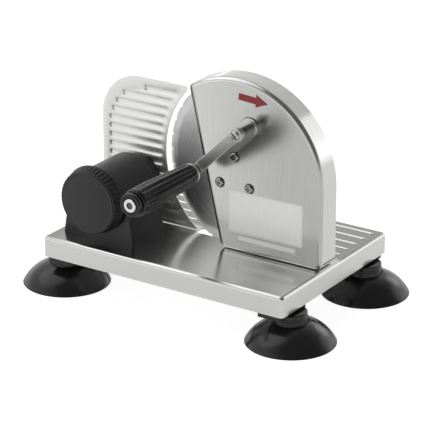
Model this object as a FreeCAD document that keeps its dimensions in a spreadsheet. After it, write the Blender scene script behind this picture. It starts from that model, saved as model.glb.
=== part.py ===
"""Hand crank bread slicer, modelled in millimetres.

X runs along the long side of the tray, Y from the crank side to the food side and Z up from the
table. The origin lies on the table, under the middle of the whole outline. Each sub-part is a body
at the axis that it belongs to, and its own Y is counted from the middle of the tray.
"""
import FreeCAD, Part
import math
import os
import re
import Sketcher
from FreeCAD import Placement, Rotation, Vector

# Driving dimensions, in millimetres and degrees. A place in Y counts from the middle of the tray.
DIMENSIONS = {
    # The tray's middle stands behind the origin, because the grip reaches forward
    "tray_y": 18.85,

    # Tray
    "tray_top": 50.0,
    "tray_length": 250.0,
    "tray_width": 176.0,
    "tray_depth": 19.0,
    "tray_sheet": 1.2,
    "tray_fold": 3.4,
    "tray_corner": 3.8,
    "rib_first": 19.0,
    "rib_pitch": 14.35,
    "rib_count": 5,
    "rib_length": 232.0,
    "rib_width": 2.6,
    "rib_height": 1.0,
    "rib_round": 0.9,
    "slot_left": -17.0,
    "slot_right": 89.0,
    "slot_front": -5.5,
    "slot_rear": 6.0,
    "slot_corner": 2.0,
    "slot_lip": 0.5,

    # Suction cups, their studs and the foot blocks
    "cup_x": 118.2,
    "cup_y": 63.0,
    "cup_r": 39.6,
    "cup_dome_r": 38.0,
    "cup_dome_top_r": 20.9,
    "cup_dome_top": 17.1,
    "cup_wall": 2.4,
    "cup_hollow": 13.0,
    "collar_r": 14.8,
    "collar_groove": 15.6,
    "collar_top": 18.2,
    "collar_foot": 2.0,
    "collar_slope": 0.6,
    "neck_rise": 1.2,
    "neck_r": 11.9,
    "head_r": 12.4,
    "head_top": 28.3,
    "head_round": 1.6,
    "head_slope": 0.6,
    "stud_r": 2.0,
    "stud_disc_r": 8.0,
    "stud_disc_bottom": 18.6,
    "stud_disc": 2.0,
    "stud_top": 47.4,
    "nut_r": 4.0,
    "nut_height": 3.2,
    "nut_sink": 1.2,
    "nut_cover": 0.2,
    "block_inner": 98.0,
    "block_outer": 122.0,
    "block_front": 85.2,
    "block_back": 44.0,
    "block_bottom": 26.0,
    "block_gap": 0.3,
    "block_round": 2.0,
    "head_clearance": 0.6,
    "weld_stud_x": 104.0,
    "weld_stud_y": 78.0,
    "weld_stud_r": 2.0,
    "weld_stud_length": 21.0,
    "hole_play": 0.15,

    # Fits and margins
    "thread_fit": 0.05,
    "shaft_fit": 0.04,
    "press_fit": 0.02,
    "over": 1.0,

    # Blade and its hub
    "blade_x": 36.0,
    "blade_z": 120.0,
    "blade_r": 85.0,
    "blade_front": 2.5,
    "blade_sheet": 1.2,
    "blade_bore": 10.05,
    "bevel_width": 8.0,
    "bevel_depth": 0.85,
    "notch_count": 36,
    "notch_r": 1.5,
    "notch_depth": 1.2,
    "hub_spigot_r": 10.0,
    "hub_spigot_end": 3.6,
    "hub_r": 18.0,
    "hub_front": -7.0,
    "hub_neck_r": 14.0,
    "hub_nose_r": 11.0,
    "hub_nose_front": -18.8,
    "hub_counterbore_r": 9.0,
    "bush_rear": -1.5,
    "blade_bush_r": 8.0,
    "axle_r": 6.0,
    "axle_flange_r": 22.0,
    "axle_flange": 3.0,
    "axle_rear": -1.3,
    "axle_screw_circle": 17.5,
    "hub_washer_r": 8.5,
    "hub_washer": 1.2,
    "cap_r": 20.0,
    "cap_sheet": 3.0,
    "cap_edge": 1.2,
    "blade_screw_circle": 14.0,
    "blade_screw_grip": 5.0,
    "blade_screw_hole": 7.0,
    "hub_screw_grip": 8.0,
    "axle_hole": 11.0,

    # Gears: module, tooth counts and play
    "gear_module": 1.5,
    "blade_teeth": 22,
    "crank_teeth": 44,
    "gear_play": 0.16,
    "blade_gear_front": -16.8,
    "blade_gear_width": 8.0,
    "crank_gear_front": -16.3,
    "crank_gear_width": 7.0,
    "pressure_angle": 20.0,

    # Housing
    "housing_front": -24.1,
    "housing_rear": -0.7,
    "housing_r": 88.0,
    "housing_lean": 13.0,
    "housing_edge": 30.7,
    "housing_wall": 1.5,
    "housing_round": 4.0,
    "housing_corner": 8.0,
    "housing_tip": 5.0,
    "cover_sheet": 1.2,
    "cover_play": 0.2,
    "post_r": 4.0,
    "boss_r": 5.0,
    "boss_height": 14.0,
    "boss_y": -12.5,
    "cover_hub_hole": 20.5,
    "cover_screw": 9.0,
    "cover_screw_hole": 12.0,
    "housing_screw": 13.0,

    # Crank shaft, bushes and gear
    "crank_direction": 71.75,
    "shaft_r": 4.0,
    "shaft_rear": 0.3,
    "shaft_square": 2.8,
    "square_play": 0.05,
    "square_short": 0.2,
    "collar_step_r": 7.0,
    "collar_disc_r": 9.0,
    "collar_disc": 1.5,
    "collar_step": 1.0,
    "bush_r": 6.5,
    "bush_inside": 3.4,
    "bush_nut_r": 10.0,
    "bush_nut": 1.6,
    "rear_flange_r": 7.5,
    "rear_flange": 1.5,
    "rear_bush_r": 5.5,
    "rear_bush_proud": 0.3,
    "crank_hub_r": 9.0,
    "crank_hub_front": -20.4,
    "crank_hub_rear": -5.0,
    "clip_r": 6.5,
    "clip_front": -4.7,
    "clip_sheet": 0.8,
    "clip_groove_r": 3.2,

    # Crank arm and handle
    "arm_front": -47.5,
    "arm_sheet": 3.0,
    "arm_angle": 224.2,
    "arm_length": 61.5,
    "arm_half": 4.8,
    "arm_hub_r": 6.3,
    "arm_boss_r": 5.8,
    "arm_boss": 2.6,
    "arm_tip_r": 6.0,
    "arm_edge": 0.5,
    "arm_screw": 12.0,
    "arm_screw_hole": 14.0,
    "spindle_r": 3.0,
    "spindle_rivet_r": 4.6,
    "spindle_rivet": 1.2,
    "spindle_shoulder_r": 5.0,
    "spindle_shoulder": 1.0,
    "ferrule_r": 9.4,
    "ferrule_length": 2.4,
    "ferrule_edge": 0.5,
    "grip_front": -133.8,
    "grip_rear": -51.4,
    "grip_bore": 3.15,
    "grip_inner_r": 9.8,
    "grip_edge": 1.0,
    "grip_end_edge": 2.0,
    "grip_waist_r": 11.2,
    "grip_belly_r": 12.2,
    "grip_outer_r": 11.9,
    "grip_belly": -114.0,
    "end_neck_r": 8.6,
    "end_neck": 1.2,
    "end_cap_r": 10.2,
    "end_cap": 5.8,
    "end_cap_edge": 1.2,
    "end_recess_r": 7.0,
    "end_recess": 0.8,
    "end_gap": 0.3,
    "end_screw_r": 6.0,
    "end_screw": 1.2,
    "end_screw_edge": 0.6,
    "end_screw_grip": 8.0,
    "end_screw_hole": 12.0,

    # Gauge plate
    "plate_front": -1.5,
    "plate_sheet": 1.0,
    "plate_left": -120.0,
    "plate_top": 183.0,
    "plate_bottom": 50.6,
    "plate_corner": 41.0,
    "plate_gap_r": 87.4,
    "plate_tip": 6.0,
    "plate_foot": 3.0,
    "groove_first": 176.0,
    "groove_pitch": 8.4,
    "groove_count": 15,
    "groove_half": 2.6,
    "groove_inset": 4.4,
    "groove_left": -111.0,
    "groove_corner_r": 35.9,
    "groove_corner_x": -75.1,
    "groove_corner_z": 140.3,
    "groove_depth": 1.5,
    "emboss_wall": 0.9,
    "carrier_circle": 18.0,
    "carrier_hole": 8.0,
    "carrier_screw": 6.0,
    "carrier_head_round": 0.8,
    "seat_play": 0.6,

    # Thickness adjuster
    "adjuster_x": -79.4,
    "adjuster_z": 89.3,
    "body_r": 27.0,
    "body_front": -70.5,
    "body_rear": -16.6,
    "body_wall": 4.0,
    "body_round": 1.3,
    "body_bore": 21.9,
    "foot_front": -67.5,
    "foot_rear": -18.2,
    "foot_half": 38.2,
    "foot_shoulder_half": 33.3,
    "foot_shoulder": 28.3,
    "foot_hollow_half": 22.0,
    "foot_hollow": 11.0,
    "foot_hollow_front": -62.0,
    "foot_hollow_rear": -27.0,
    "foot_round": 2.5,
    "foot_hole": 15.0,
    "foot_screw": 14.0,
    "key_r": 23.3,
    "key_half": 2.0,
    "key_play": 0.35,
    "sleeve_r": 21.5,
    "sleeve_bore": 16.0,
    "sleeve_front": -40.0,
    "sleeve_floor": 4.0,
    "drum_r": 15.0,
    "drum_rear": -22.0,
    "drum_front": -64.8,
    "drum_stem_r": 8.0,
    "drum_stem_play": 0.1,
    "drum_seat": 0.6,
    "drum_drive": 5.0,
    "drum_drive_length": 5.0,
    "drum_hole": 16.0,
    "washer_r": 14.0,
    "washer_sheet": 1.2,
    "washer_gap": 0.1,
    "washer_play": 0.4,
    "pin_r": 1.8,
    "pin_y": -36.0,
    "pin_end": 12.6,
    "pin_head": 21.0,
    "groove_floor": 12.2,
    "groove_wide": 2.15,
    "cam_lead": 18.0,
    "cam_turn": 320.0,
    "cam_start_turn": 70.0,
    "knob_front": -82.2,
    "knob_rear": -71.3,
    "knob_front_r": 28.8,
    "knob_rear_r": 31.1,
    "knob_edge": 1.0,
    "knob_hollow_r": 26.0,
    "knob_hub_r": 12.0,
    "knob_floor": 3.0,
    "knob_draft": 1.5,
    "knob_drive_depth": 6.0,
    "knob_screw": 13.0,
    "knob_screw_sink": 0.2,
    "ridge_count": 45,
    "ridge_r": 1.1,
    "ridge_depth": 0.8,
    "knob_cap_r": 27.6,
    "knob_cap": 0.8,
    "knob_cap_edge": 0.3,

    # Screws
    "screw_r": 1.95,
    "screw_hole": 2.0,
    "screw_free_hole": 2.3,
    "pan_r": 4.0,
    "pan_height": 2.4,
    "pan_round": 1.5,
    "cross_arm": 2.1,
    "cross_half": 0.5,
    "cross_depth": 1.3,
    "screw_slot_half": 0.75,
    "screw_slot_depth": 1.2,
    "flat_cross_depth": 0.8,

    # Stickers
    "sticker": 0.15,
    "sticker_corner": 1.0,
    "label_left": -6.5,
    "label_right": 69.0,
    "label_bottom": -51.7,
    "label_top": -13.1,
    "strip_left": 2.0,
    "strip_right": 63.0,
    "strip_bottom": -60.0,
    "strip_top": -53.0,
    "rim_label_first": 68.4,
    "rim_label_last": 101.0,
    "rim_label_front": -19.6,
    "rim_label_rear": -1.6,
    "arrow_x": 3.8,
    "arrow_z": 73.3,
    "arrow_length": 29.4,
    "arrow_head": 12.0,
    "arrow_half": 3.0,
    "arrow_head_half": 5.8,
    "arrow_turn": -4.1,
}

# Places of the screws and posts in the housing, counted from the blade's axis in X and Z
COVER_POSTS = [("-33", "50"), ("72", "20"), ("76", "-56"), ("-4", "-57")]
# Places of the screws that hold the housing down, in X
HOUSING_SCREWS = ["46", "72", "98"]
# Places of the screws that hold the adjuster down, counted from its axis in X and from the tray in Y
ADJUSTER_SCREWS = [("30.5", "-60"), ("30.5", "-29"), ("-30.5", "-32")]

CORNERS = [("front_left", -1, -1), ("front_right", 1, -1), ("rear_left", -1, 1), ("rear_right", 1, 1)]
CIRCLE = 360

# Where the crank's axis lies from the blade's: the two gears are in mesh along this line
MESH = "gear_module * (blade_teeth + crank_teeth) / 2"
CRANK_DX = f"({MESH} * cos(crank_direction))"
CRANK_DZ = f"({MESH} * sin(crank_direction))"
BLADE_PLACE = {"x": "blade_x", "z": "blade_z"}
CRANK_PLACE = {"x": f"blade_x + {CRANK_DX}", "z": f"blade_z + {CRANK_DZ}"}
ADJUSTER_PLACE = {"x": "adjuster_x", "z": "adjuster_z"}
# The cam groove starts this far before the pin, which stands straight up from the adjuster's axis
KNOB_PLACE = {**ADJUSTER_PLACE, "turn": "90 - cam_start_turn"}

doc = FreeCAD.newDocument("Slicer")
sheet = doc.addObject("Spreadsheet::Sheet", "dims")
for row, (alias, size) in enumerate(DIMENSIONS.items(), start=1):
    sheet.set(f"A{row}", alias)
    sheet.set(f"B{row}", str(size))
    sheet.setAlias(f"B{row}", alias)
doc.recompute()

nodes = []


def bind(text):
    """Names the sheet in front of each of its aliases, as an expression needs."""
    def name(match):
        word = match.group()
        return f"dims.{word}" if word in DIMENSIONS else word
    return re.sub(r"[a-z][a-z_0-9]*", name, str(text))


def value(text):
    """The number that an expression gives now."""
    return float(sheet.evalExpression(bind(text)))


def tie(thing, prop, text):
    """Binds one size of a thing to the sheet."""
    thing.setExpression(prop, bind(text))


def new_body(label, x="0", y="tray_y", z="0", turn=None):
    """A body at a place from the sheet, turned about the crank-side direction if it needs to be."""
    body = doc.addObject("PartDesign::Body", label)
    body.Label = label
    rotation = Rotation(Vector(0, -1, 0), value(turn)) if turn else Rotation()
    body.Placement = Placement(Vector(value(x), value(y), value(z)), rotation)
    for axis, text in (("x", x), ("y", y), ("z", z)):
        tie(body, f"Placement.Base.{axis}", text)
    if turn:
        tie(body, "Placement.Rotation.Angle", turn)
    nodes.append(body)
    return body


def origin_part(body, role):
    return next(item for item in body.Origin.OriginFeatures if item.Role == role)


def sketch_on(body, role, out="0"):
    """A sketch on an origin plane, moved out along its normal: up for XY, to the crank side for XZ."""
    sketch = body.newObject("Sketcher::SketchObject", "sketch")
    sketch.AttachmentSupport = [(origin_part(body, role), "")]
    sketch.MapMode = "FlatFace"
    tie(sketch, "AttachmentOffset.Base.z", out)
    return sketch


def pin_point(sketch, curve, point, x, y):
    """Holds one point of a curve at a place from the sheet."""
    for kind, text in (("DistanceX", x), ("DistanceY", y)):
        index = sketch.addConstraint(Sketcher.Constraint(kind, curve, point, value(text)))
        tie(sketch, f"Constraints[{index}]", text)


def draw_circle(sketch, x, y, radius):
    curve = sketch.addGeometry(
        Part.Circle(Vector(value(x), value(y), 0), Vector(0, 0, 1), value(radius)), False)
    pin_point(sketch, curve, 3, x, y)
    index = sketch.addConstraint(Sketcher.Constraint("Radius", curve, value(radius)))
    tie(sketch, f"Constraints[{index}]", radius)


def trace(sketch, corners, arcs=None):
    """A closed outline. arcs[i] is the centre, radius and turn of the arc from corner i onwards."""
    arcs = arcs or {}
    count = len(corners)
    points = [Vector(value(x), value(y), 0) for x, y in corners]
    curves = []
    for i in range(count):
        here, there = points[i], points[(i + 1) % count]
        if i not in arcs:
            curve = sketch.addGeometry(Part.LineSegment(here, there), False)
            curves.append((curve, 1, 2))
            continue
        x, y, radius, turn = arcs[i]
        centre = Vector(value(x), value(y), 0)
        first, last = (here, there) if turn == "ccw" else (there, here)
        start = math.atan2(first.y - centre.y, first.x - centre.x)
        end = math.atan2(last.y - centre.y, last.x - centre.x)
        ring = Part.Circle(centre, Vector(0, 0, 1), value(radius))
        curve = sketch.addGeometry(Part.ArcOfCircle(ring, start, end), False)
        # A half circle's ends already give its radius, so its centre is held instead
        chord = there - here
        if abs(chord.Length - 2 * value(radius)) < 1e-6:
            upright = abs(chord.y) > abs(chord.x)
            kind, text = ("DistanceX", x) if upright else ("DistanceY", y)
            index = sketch.addConstraint(Sketcher.Constraint(kind, curve, 3, value(text)))
            tie(sketch, f"Constraints[{index}]", text)
        else:
            index = sketch.addConstraint(Sketcher.Constraint("Radius", curve, value(radius)))
            tie(sketch, f"Constraints[{index}]", radius)
        curves.append((curve, 1, 2) if turn == "ccw" else (curve, 2, 1))
    for i in range(count):
        curve, _, end = curves[i]
        following, start, _ = curves[(i + 1) % count]
        sketch.addConstraint(Sketcher.Constraint("Coincident", curve, end, following, start))
    for (curve, start, _), (x, y) in zip(curves, corners):
        pin_point(sketch, curve, start, x, y)


def draw_rectangle(sketch, left, right, bottom, top):
    trace(sketch, [(left, bottom), (right, bottom), (right, top), (left, top)])


def draw_rounded(sketch, half_x, half_y, radius):
    """A rectangle about the origin with round corners."""
    near_x, near_y = f"({half_x} - {radius})", f"({half_y} - {radius})"
    corners = [
        (f"-{near_x}", f"-{half_y}"), (near_x, f"-{half_y}"), (half_x, f"-{near_y}"), (half_x, near_y),
        (near_x, half_y), (f"-{near_x}", half_y), (f"-{half_x}", near_y), (f"-{half_x}", f"-{near_y}")]
    arcs = {
        1: (near_x, f"-{near_y}", radius, "ccw"), 3: (near_x, near_y, radius, "ccw"),
        5: (f"-{near_x}", near_y, radius, "ccw"), 7: (f"-{near_x}", f"-{near_y}", radius, "ccw")}
    trace(sketch, corners, arcs)


def draw_slot(sketch, left, right, y, half):
    """A straight slot with round ends, from its left end's centre to its right end's."""
    corners = [(left, f"{y} - {half}"), (right, f"{y} - {half}"),
               (right, f"{y} + {half}"), (left, f"{y} + {half}")]
    trace(sketch, corners, {1: (right, y, half, "ccw"), 3: (left, y, half, "ccw")})


def draw_hexagon(sketch, x, y, radius):
    corners = []
    for i in range(6):
        angle = (i + 0.5) * CIRCLE / 6
        corners.append((f"{x} + {radius} * cos({angle})", f"{y} + {radius} * sin({angle})"))
    trace(sketch, corners)


def settle(body, feature):
    """Works out a new feature, and stops if it failed."""
    doc.recompute()
    for item in body.Group:
        if "Invalid" in item.State or "Error" in item.State:
            raise ValueError(f"{body.Label}: {item.Name} failed")
    return feature


def grow(body, sketch, length, back=False):
    """Pads a sketch along its normal, or against it."""
    pad = body.newObject("PartDesign::Pad", "pad")
    pad.Profile = sketch
    pad.Reversed = back
    tie(pad, "Length", length)
    before = body.Shape.Volume if len(body.Group) > 2 else 0
    settle(body, pad)
    if not body.Shape.Volume > before:
        raise ValueError(f"{body.Label}: {pad.Name} adds nothing")
    return pad


def check_cut(body, before, feature):
    """Stops if a cut took nothing away, or everything."""
    settle(body, feature)
    if not 0 < body.Shape.Volume < before:
        raise ValueError(f"{body.Label}: {feature.Name} cuts nothing or everything")


def cut(body, sketch, length, along=False):
    """Pockets a sketch against its normal, or along it."""
    before = body.Shape.Volume
    pocket = body.newObject("PartDesign::Pocket", "pocket")
    pocket.Profile = sketch
    pocket.Reversed = along
    tie(pocket, "Length", length)
    check_cut(body, before, pocket)
    return pocket


def spin(body, sketch, cutting=False):
    """Turns a sketch about its own vertical axis, as added or removed material."""
    before = body.Shape.Volume if cutting else 0
    kind = "Groove" if cutting else "Revolution"
    feature = body.newObject(f"PartDesign::{kind}", kind.lower())
    feature.Profile = sketch
    feature.ReferenceAxis = (sketch, ["V_Axis"])
    feature.Angle = CIRCLE
    if cutting:
        check_cut(body, before, feature)
    return settle(body, feature)


def round_edges(body, radius, test, flat=False):
    """Rounds, or bevels, the edges of the body's last feature that pass a test."""
    tip = body.Tip
    names = [f"Edge{i}" for i, edge in enumerate(tip.Shape.Edges, start=1) if test(edge)]
    if not names:
        raise ValueError(f"{body.Label}: no edge to round")
    feature = body.newObject("PartDesign::Chamfer" if flat else "PartDesign::Fillet", "edge")
    feature.Base = (tip, names)
    tie(feature, "Size" if flat else "Radius", radius)
    return settle(body, feature)


def repeat_round(body, originals, role, count):
    """Repeats features evenly about one of the body's axes."""
    pattern = body.newObject("PartDesign::PolarPattern", "pattern")
    pattern.Originals = originals
    pattern.Axis = (origin_part(body, role), [""])
    pattern.Angle = CIRCLE
    tie(pattern, "Occurrences", count)
    body.Tip = pattern
    return settle(body, pattern)


def mirror(body, originals, role):
    """Repeats features on the other side of one of the body's planes."""
    mirrored = body.newObject("PartDesign::Mirrored", "mirrored")
    mirrored.Originals = originals
    mirrored.MirrorPlane = (origin_part(body, role), [""])
    body.Tip = mirrored
    return settle(body, mirrored)


def along_y(edge):
    return edge.BoundBox.YLength > 0.9 * edge.Length


def along_z(edge):
    return edge.BoundBox.ZLength > 0.9 * edge.Length


def at_y(edge, y):
    """True if the whole edge lies in the plane at this Y, in the body's own frame."""
    box = edge.BoundBox
    return abs(box.YMin - y) < 0.01 and abs(box.YMax - y) < 0.01


def at_z(edge, z):
    box = edge.BoundBox
    return abs(box.ZMin - z) < 0.01 and abs(box.ZMax - z) < 0.01


def turned_y(label, outline, x, z, turn=None):
    """A piece turned about a line along Y. Its outline is radius and Y."""
    body = new_body(label, x=x, z=z, turn=turn)
    sketch = sketch_on(body, "XY_Plane")
    trace(sketch, outline)
    spin(body, sketch)
    return body


def turned_z(label, outline, x, y, arcs=None):
    """A piece turned about a line along Z. Its outline is radius and Z."""
    body = new_body(label, x=x, y=y)
    sketch = sketch_on(body, "XZ_Plane")
    trace(sketch, outline, arcs)
    spin(body, sketch)
    return body


def ring_y(label, inner, outer, front, rear, x, z):
    """A plain ring, bush or washer about a line along Y."""
    outline = [(inner, front), (outer, front), (outer, rear), (inner, rear)]
    return turned_y(label, outline, x, z)


def spots_round(radius, start=90, count=3):
    """Places spread evenly round a circle, as texts for a sketch."""
    spots = []
    for i in range(count):
        angle = start + i * CIRCLE / count
        spots.append((f"{radius} * cos({angle})", f"{radius} * sin({angle})"))
    return spots


def drill(body, role, spots, radius, out, depth, along=False):
    """Round holes in one go, from a plane into the piece."""
    sketch = sketch_on(body, role, out)
    for x, y in spots:
        draw_circle(sketch, x, y, radius)
    return cut(body, sketch, depth, along)


def pins(body, role, spots, radius, out, length, back=False):
    """Round pegs in one go, from a plane outwards."""
    sketch = sketch_on(body, role, out)
    for x, y in spots:
        draw_circle(sketch, x, y, radius)
    return grow(body, sketch, length, back)


def cut_crosses(body, role, spots, out, depth, along):
    """Cross recesses in the heads of a group of screws."""
    sketch = sketch_on(body, role, out)
    long, short = "cross_arm", "cross_half"
    quarter = [(long, f"-{short}"), (long, short), (short, short)]
    for x, y in spots:
        corners = []
        for a, b in quarter:
            corners.append((f"{x} + ({a})", f"{y} + ({b})"))
        for a, b in quarter:
            corners.append((f"{x} - ({b})", f"{y} + ({a})"))
        for a, b in quarter:
            corners.append((f"{x} - ({a})", f"{y} - ({b})"))
        for a, b in quarter:
            corners.append((f"{x} + ({b})", f"{y} - ({a})"))
        trace(sketch, corners)
    return cut(body, sketch, depth, along)


def screw_group(label, spots, facing, seat, shank, x="0", z="0", turn=None, slotted=False):
    """Pan head screws that share a seat plane. Facing is where the heads point."""
    body = new_body(label, x=x, z=z, turn=turn)
    role = "XY_Plane" if facing == "down" else "XZ_Plane"
    out = seat if facing == "down" else f"-({seat})"
    head_back = facing != "front"
    pins(body, role, spots, "screw_r", out, shank, not head_back)
    pins(body, role, spots, "pan_r", out, "pan_height", head_back)
    head = value(seat) + (value("pan_height") if facing == "rear" else -value("pan_height"))
    test = at_z if facing == "down" else at_y
    round_edges(body, "pan_round", lambda edge: test(edge, head))
    top = f"{out} - pan_height" if head_back else f"{out} + pan_height"
    if not slotted:
        cut_crosses(body, role, spots, top, "cross_depth", head_back)
        return body
    sketch = sketch_on(body, role, top)
    draw_rectangle(sketch, "-screw_slot_half", "screw_slot_half", "-(pan_r + over)", "pan_r + over")
    cut(body, sketch, "screw_slot_depth", head_back)
    return body


def gear_gap(teeth, toward):
    """One tooth gap of an involute gear, centred on a direction, as points worked out from the sheet."""
    module = value("gear_module")
    count = value(teeth)
    pressure = math.radians(value("pressure_angle"))
    pitch_r = module * count / 2
    base_r = pitch_r * math.cos(pressure)
    root_r = pitch_r - 1.25 * module
    tip_r = pitch_r + 1.1 * module

    def half_gap(radius):
        slope = math.acos(min(1.0, base_r / radius))
        spread = math.tan(slope) - slope
        at_pitch = math.tan(pressure) - pressure
        tooth = math.pi / (2 * count) - value("gear_play") / pitch_r / 2 + at_pitch - spread
        return math.pi / count - tooth

    steps = 5
    low = max(base_r, root_r)
    radii = [low + (tip_r - low) * i / steps for i in range(steps + 1)]
    side = [(root_r, half_gap(low))] if root_r < low else []
    side += [(radius, half_gap(radius)) for radius in radii]
    middle = math.radians(value(toward))
    upper = [Vector(r * math.cos(middle + a), r * math.sin(middle + a), 0) for r, a in side]
    lower = [Vector(r * math.cos(middle - a), r * math.sin(middle - a), 0) for r, a in side]
    return lower[::-1] + upper


def cut_teeth(body, teeth, front, width, toward):
    """Cuts the tooth gaps of a gear whose blank is already turned, one of them in a direction."""
    sketch = sketch_on(body, "XZ_Plane", f"-({front} + {width})")
    points = gear_gap(teeth, toward)
    for i, point in enumerate(points):
        sketch.addGeometry(Part.LineSegment(point, points[(i + 1) % len(points)]), False)
        if i:
            sketch.addConstraint(Sketcher.Constraint("Coincident", i - 1, 2, i, 1))
    sketch.addConstraint(Sketcher.Constraint("Coincident", len(points) - 1, 2, 0, 1))
    gap = cut(body, sketch, width, along=True)
    return repeat_round(body, [gap], "Y_Axis", teeth)


def quadrant_spots(x, y):
    return [(f"{sx} * {x}", f"{sy} * {y}") for _, sx, sy in CORNERS]


# Tray and feet

def make_tray():
    body = new_body("base_tray")
    half_x, half_y = "tray_length / 2", "tray_width / 2"
    skirt = "tray_top - tray_depth"
    sketch = sketch_on(body, "XY_Plane", skirt)
    draw_rounded(sketch, half_x, half_y, "tray_corner")
    grow(body, sketch, "tray_depth")
    top = value("tray_top")
    round_edges(body, "tray_fold", lambda edge: at_z(edge, top))

    sketch = sketch_on(body, "XY_Plane", skirt)
    draw_rounded(sketch, f"({half_x} - tray_sheet)", f"({half_y} - tray_sheet)",
                 "(tray_corner - tray_sheet)")
    cut(body, sketch, "tray_depth - tray_sheet", along=True)
    under = value("tray_top - tray_sheet")
    round_edges(body, "tray_fold - tray_sheet", lambda edge: at_z(edge, under))

    ribs = sketch_on(body, "XY_Plane", "tray_top - tray_sheet / 2")
    for i in range(int(value("rib_count"))):
        draw_slot(ribs, "-rib_length / 2", "rib_length / 2", f"(rib_first + {i} * rib_pitch)",
                  "rib_width / 2")
    grow(body, ribs, "tray_sheet / 2 + rib_height")
    crest = value("tray_top + rib_height")
    round_edges(body, "rib_round", lambda edge: at_z(edge, crest))

    slot = sketch_on(body, "XY_Plane", "tray_top")
    draw_rectangle(slot, "slot_left", "slot_right", "slot_front", "slot_rear")
    cut(body, slot, "2 * tray_sheet")
    left, right = value("slot_left"), value("slot_right")

    def in_slot(edge):
        box = edge.BoundBox
        return left - 0.1 < box.XMin and box.XMax < right + 0.1 and box.YMin > -6 and box.YMax < 6.1

    round_edges(body, "slot_corner", lambda edge: along_z(edge) and in_slot(edge))
    round_edges(body, "slot_lip", lambda edge: at_z(edge, top) and in_slot(edge))

    spots = quadrant_spots("weld_stud_x", "weld_stud_y")
    pins(body, "XY_Plane", spots, "weld_stud_r", "tray_top - tray_sheet / 2",
         "tray_sheet / 2 + weld_stud_length", back=True)
    down = [(x, "boss_y") for x in HOUSING_SCREWS]
    down += [(f"adjuster_x + {x}", y) for x, y in ADJUSTER_SCREWS]
    drill(body, "XY_Plane", down, "screw_free_hole", "tray_top", "2 * tray_sheet")


def make_foot(name, sx, sy):
    """A suction cup and the moulded block that holds it in a corner of the tray."""
    x, y = f"{sx} * cup_x", f"tray_y + {sy} * cup_y"
    slant = "(cup_dome_r^2 - (cup_r - cup_dome_top_r)^2 / 4 - cup_dome_top^2 / 4)"
    chord = "sqrt((cup_r - cup_dome_top_r)^2 + cup_dome_top^2)"
    # The dome's arc is centred below the table, on the middle line of its chord
    centre_x = f"((cup_r + cup_dome_top_r) / 2 - sqrt({slant}) * cup_dome_top / {chord})"
    centre_z = f"(cup_dome_top / 2 - sqrt({slant}) * (cup_r - cup_dome_top_r) / {chord})"
    inner_r = "(cup_dome_r - cup_wall)"
    rim_x = f"({centre_x} + sqrt({inner_r}^2 - {centre_z}^2))"
    crown_x = f"({centre_x} + sqrt({inner_r}^2 - (cup_hollow - {centre_z})^2))"
    outline = [
        ("cup_r", "0"),
        ("cup_dome_top_r", "cup_dome_top"),
        ("collar_r + collar_foot", "collar_top"),
        ("collar_r + collar_slope", "collar_groove"),
        ("collar_r - collar_slope", "collar_groove"),
        ("collar_r - collar_slope", "collar_top"),
        ("neck_r", "collar_top + neck_rise"),
        ("head_r", "head_top - head_round - head_slope"),
        ("head_r", "head_top - head_round"),
        ("head_r - head_round", "head_top"),
        ("stud_r", "head_top"),
        ("stud_r", "stud_disc_bottom + stud_disc"),
        ("stud_disc_r", "stud_disc_bottom + stud_disc"),
        ("stud_disc_r", "stud_disc_bottom"),
        ("0", "stud_disc_bottom"),
        ("0", "cup_hollow"),
        (crown_x, "cup_hollow"),
        (rim_x, "0"),
    ]
    arcs = {
        0: (centre_x, centre_z, "cup_dome_r", "ccw"),
        8: ("head_r - head_round", "head_top - head_round", "head_round", "ccw"),
        16: (centre_x, centre_z, inner_r, "cw"),
    }
    turned_z(f"suction_cup_{name}", outline, x, y, arcs)

    body = new_body(f"foot_block_{name}")
    sketch = sketch_on(body, "XY_Plane", "block_bottom")
    left, right = sorted([f"{sx} * block_inner", f"{sx} * block_outer"], key=value)
    near, far = sorted([f"{sy} * block_back", f"{sy} * block_front"], key=value)
    draw_rectangle(sketch, left, right, near, far)
    height = "tray_top - tray_sheet - block_gap - block_bottom"
    grow(body, sketch, height)
    round_edges(body, "block_round", along_z)
    stud = [(f"{sx} * cup_x", f"{sy} * cup_y")]
    weld = [(f"{sx} * weld_stud_x", f"{sy} * weld_stud_y")]
    head_hole = "head_top + head_clearance - block_bottom"
    drill(body, "XY_Plane", stud, "head_r + head_clearance", "block_bottom", head_hole, along=True)
    drill(body, "XY_Plane", stud, "stud_r + hole_play", "block_bottom", height, along=True)
    drill(body, "XY_Plane", weld, "weld_stud_r + hole_play", "block_bottom", height, along=True)
    sketch = sketch_on(body, "XY_Plane", "tray_top - tray_sheet - block_gap")
    draw_hexagon(sketch, *stud[0], "(nut_r + hole_play)")
    cut(body, sketch, "nut_height + 2 * nut_cover")
    sketch = sketch_on(body, "XY_Plane", "block_bottom")
    draw_hexagon(sketch, *weld[0], "(nut_r + hole_play)")
    cut(body, sketch, "nut_height + nut_sink", along=True)


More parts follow.
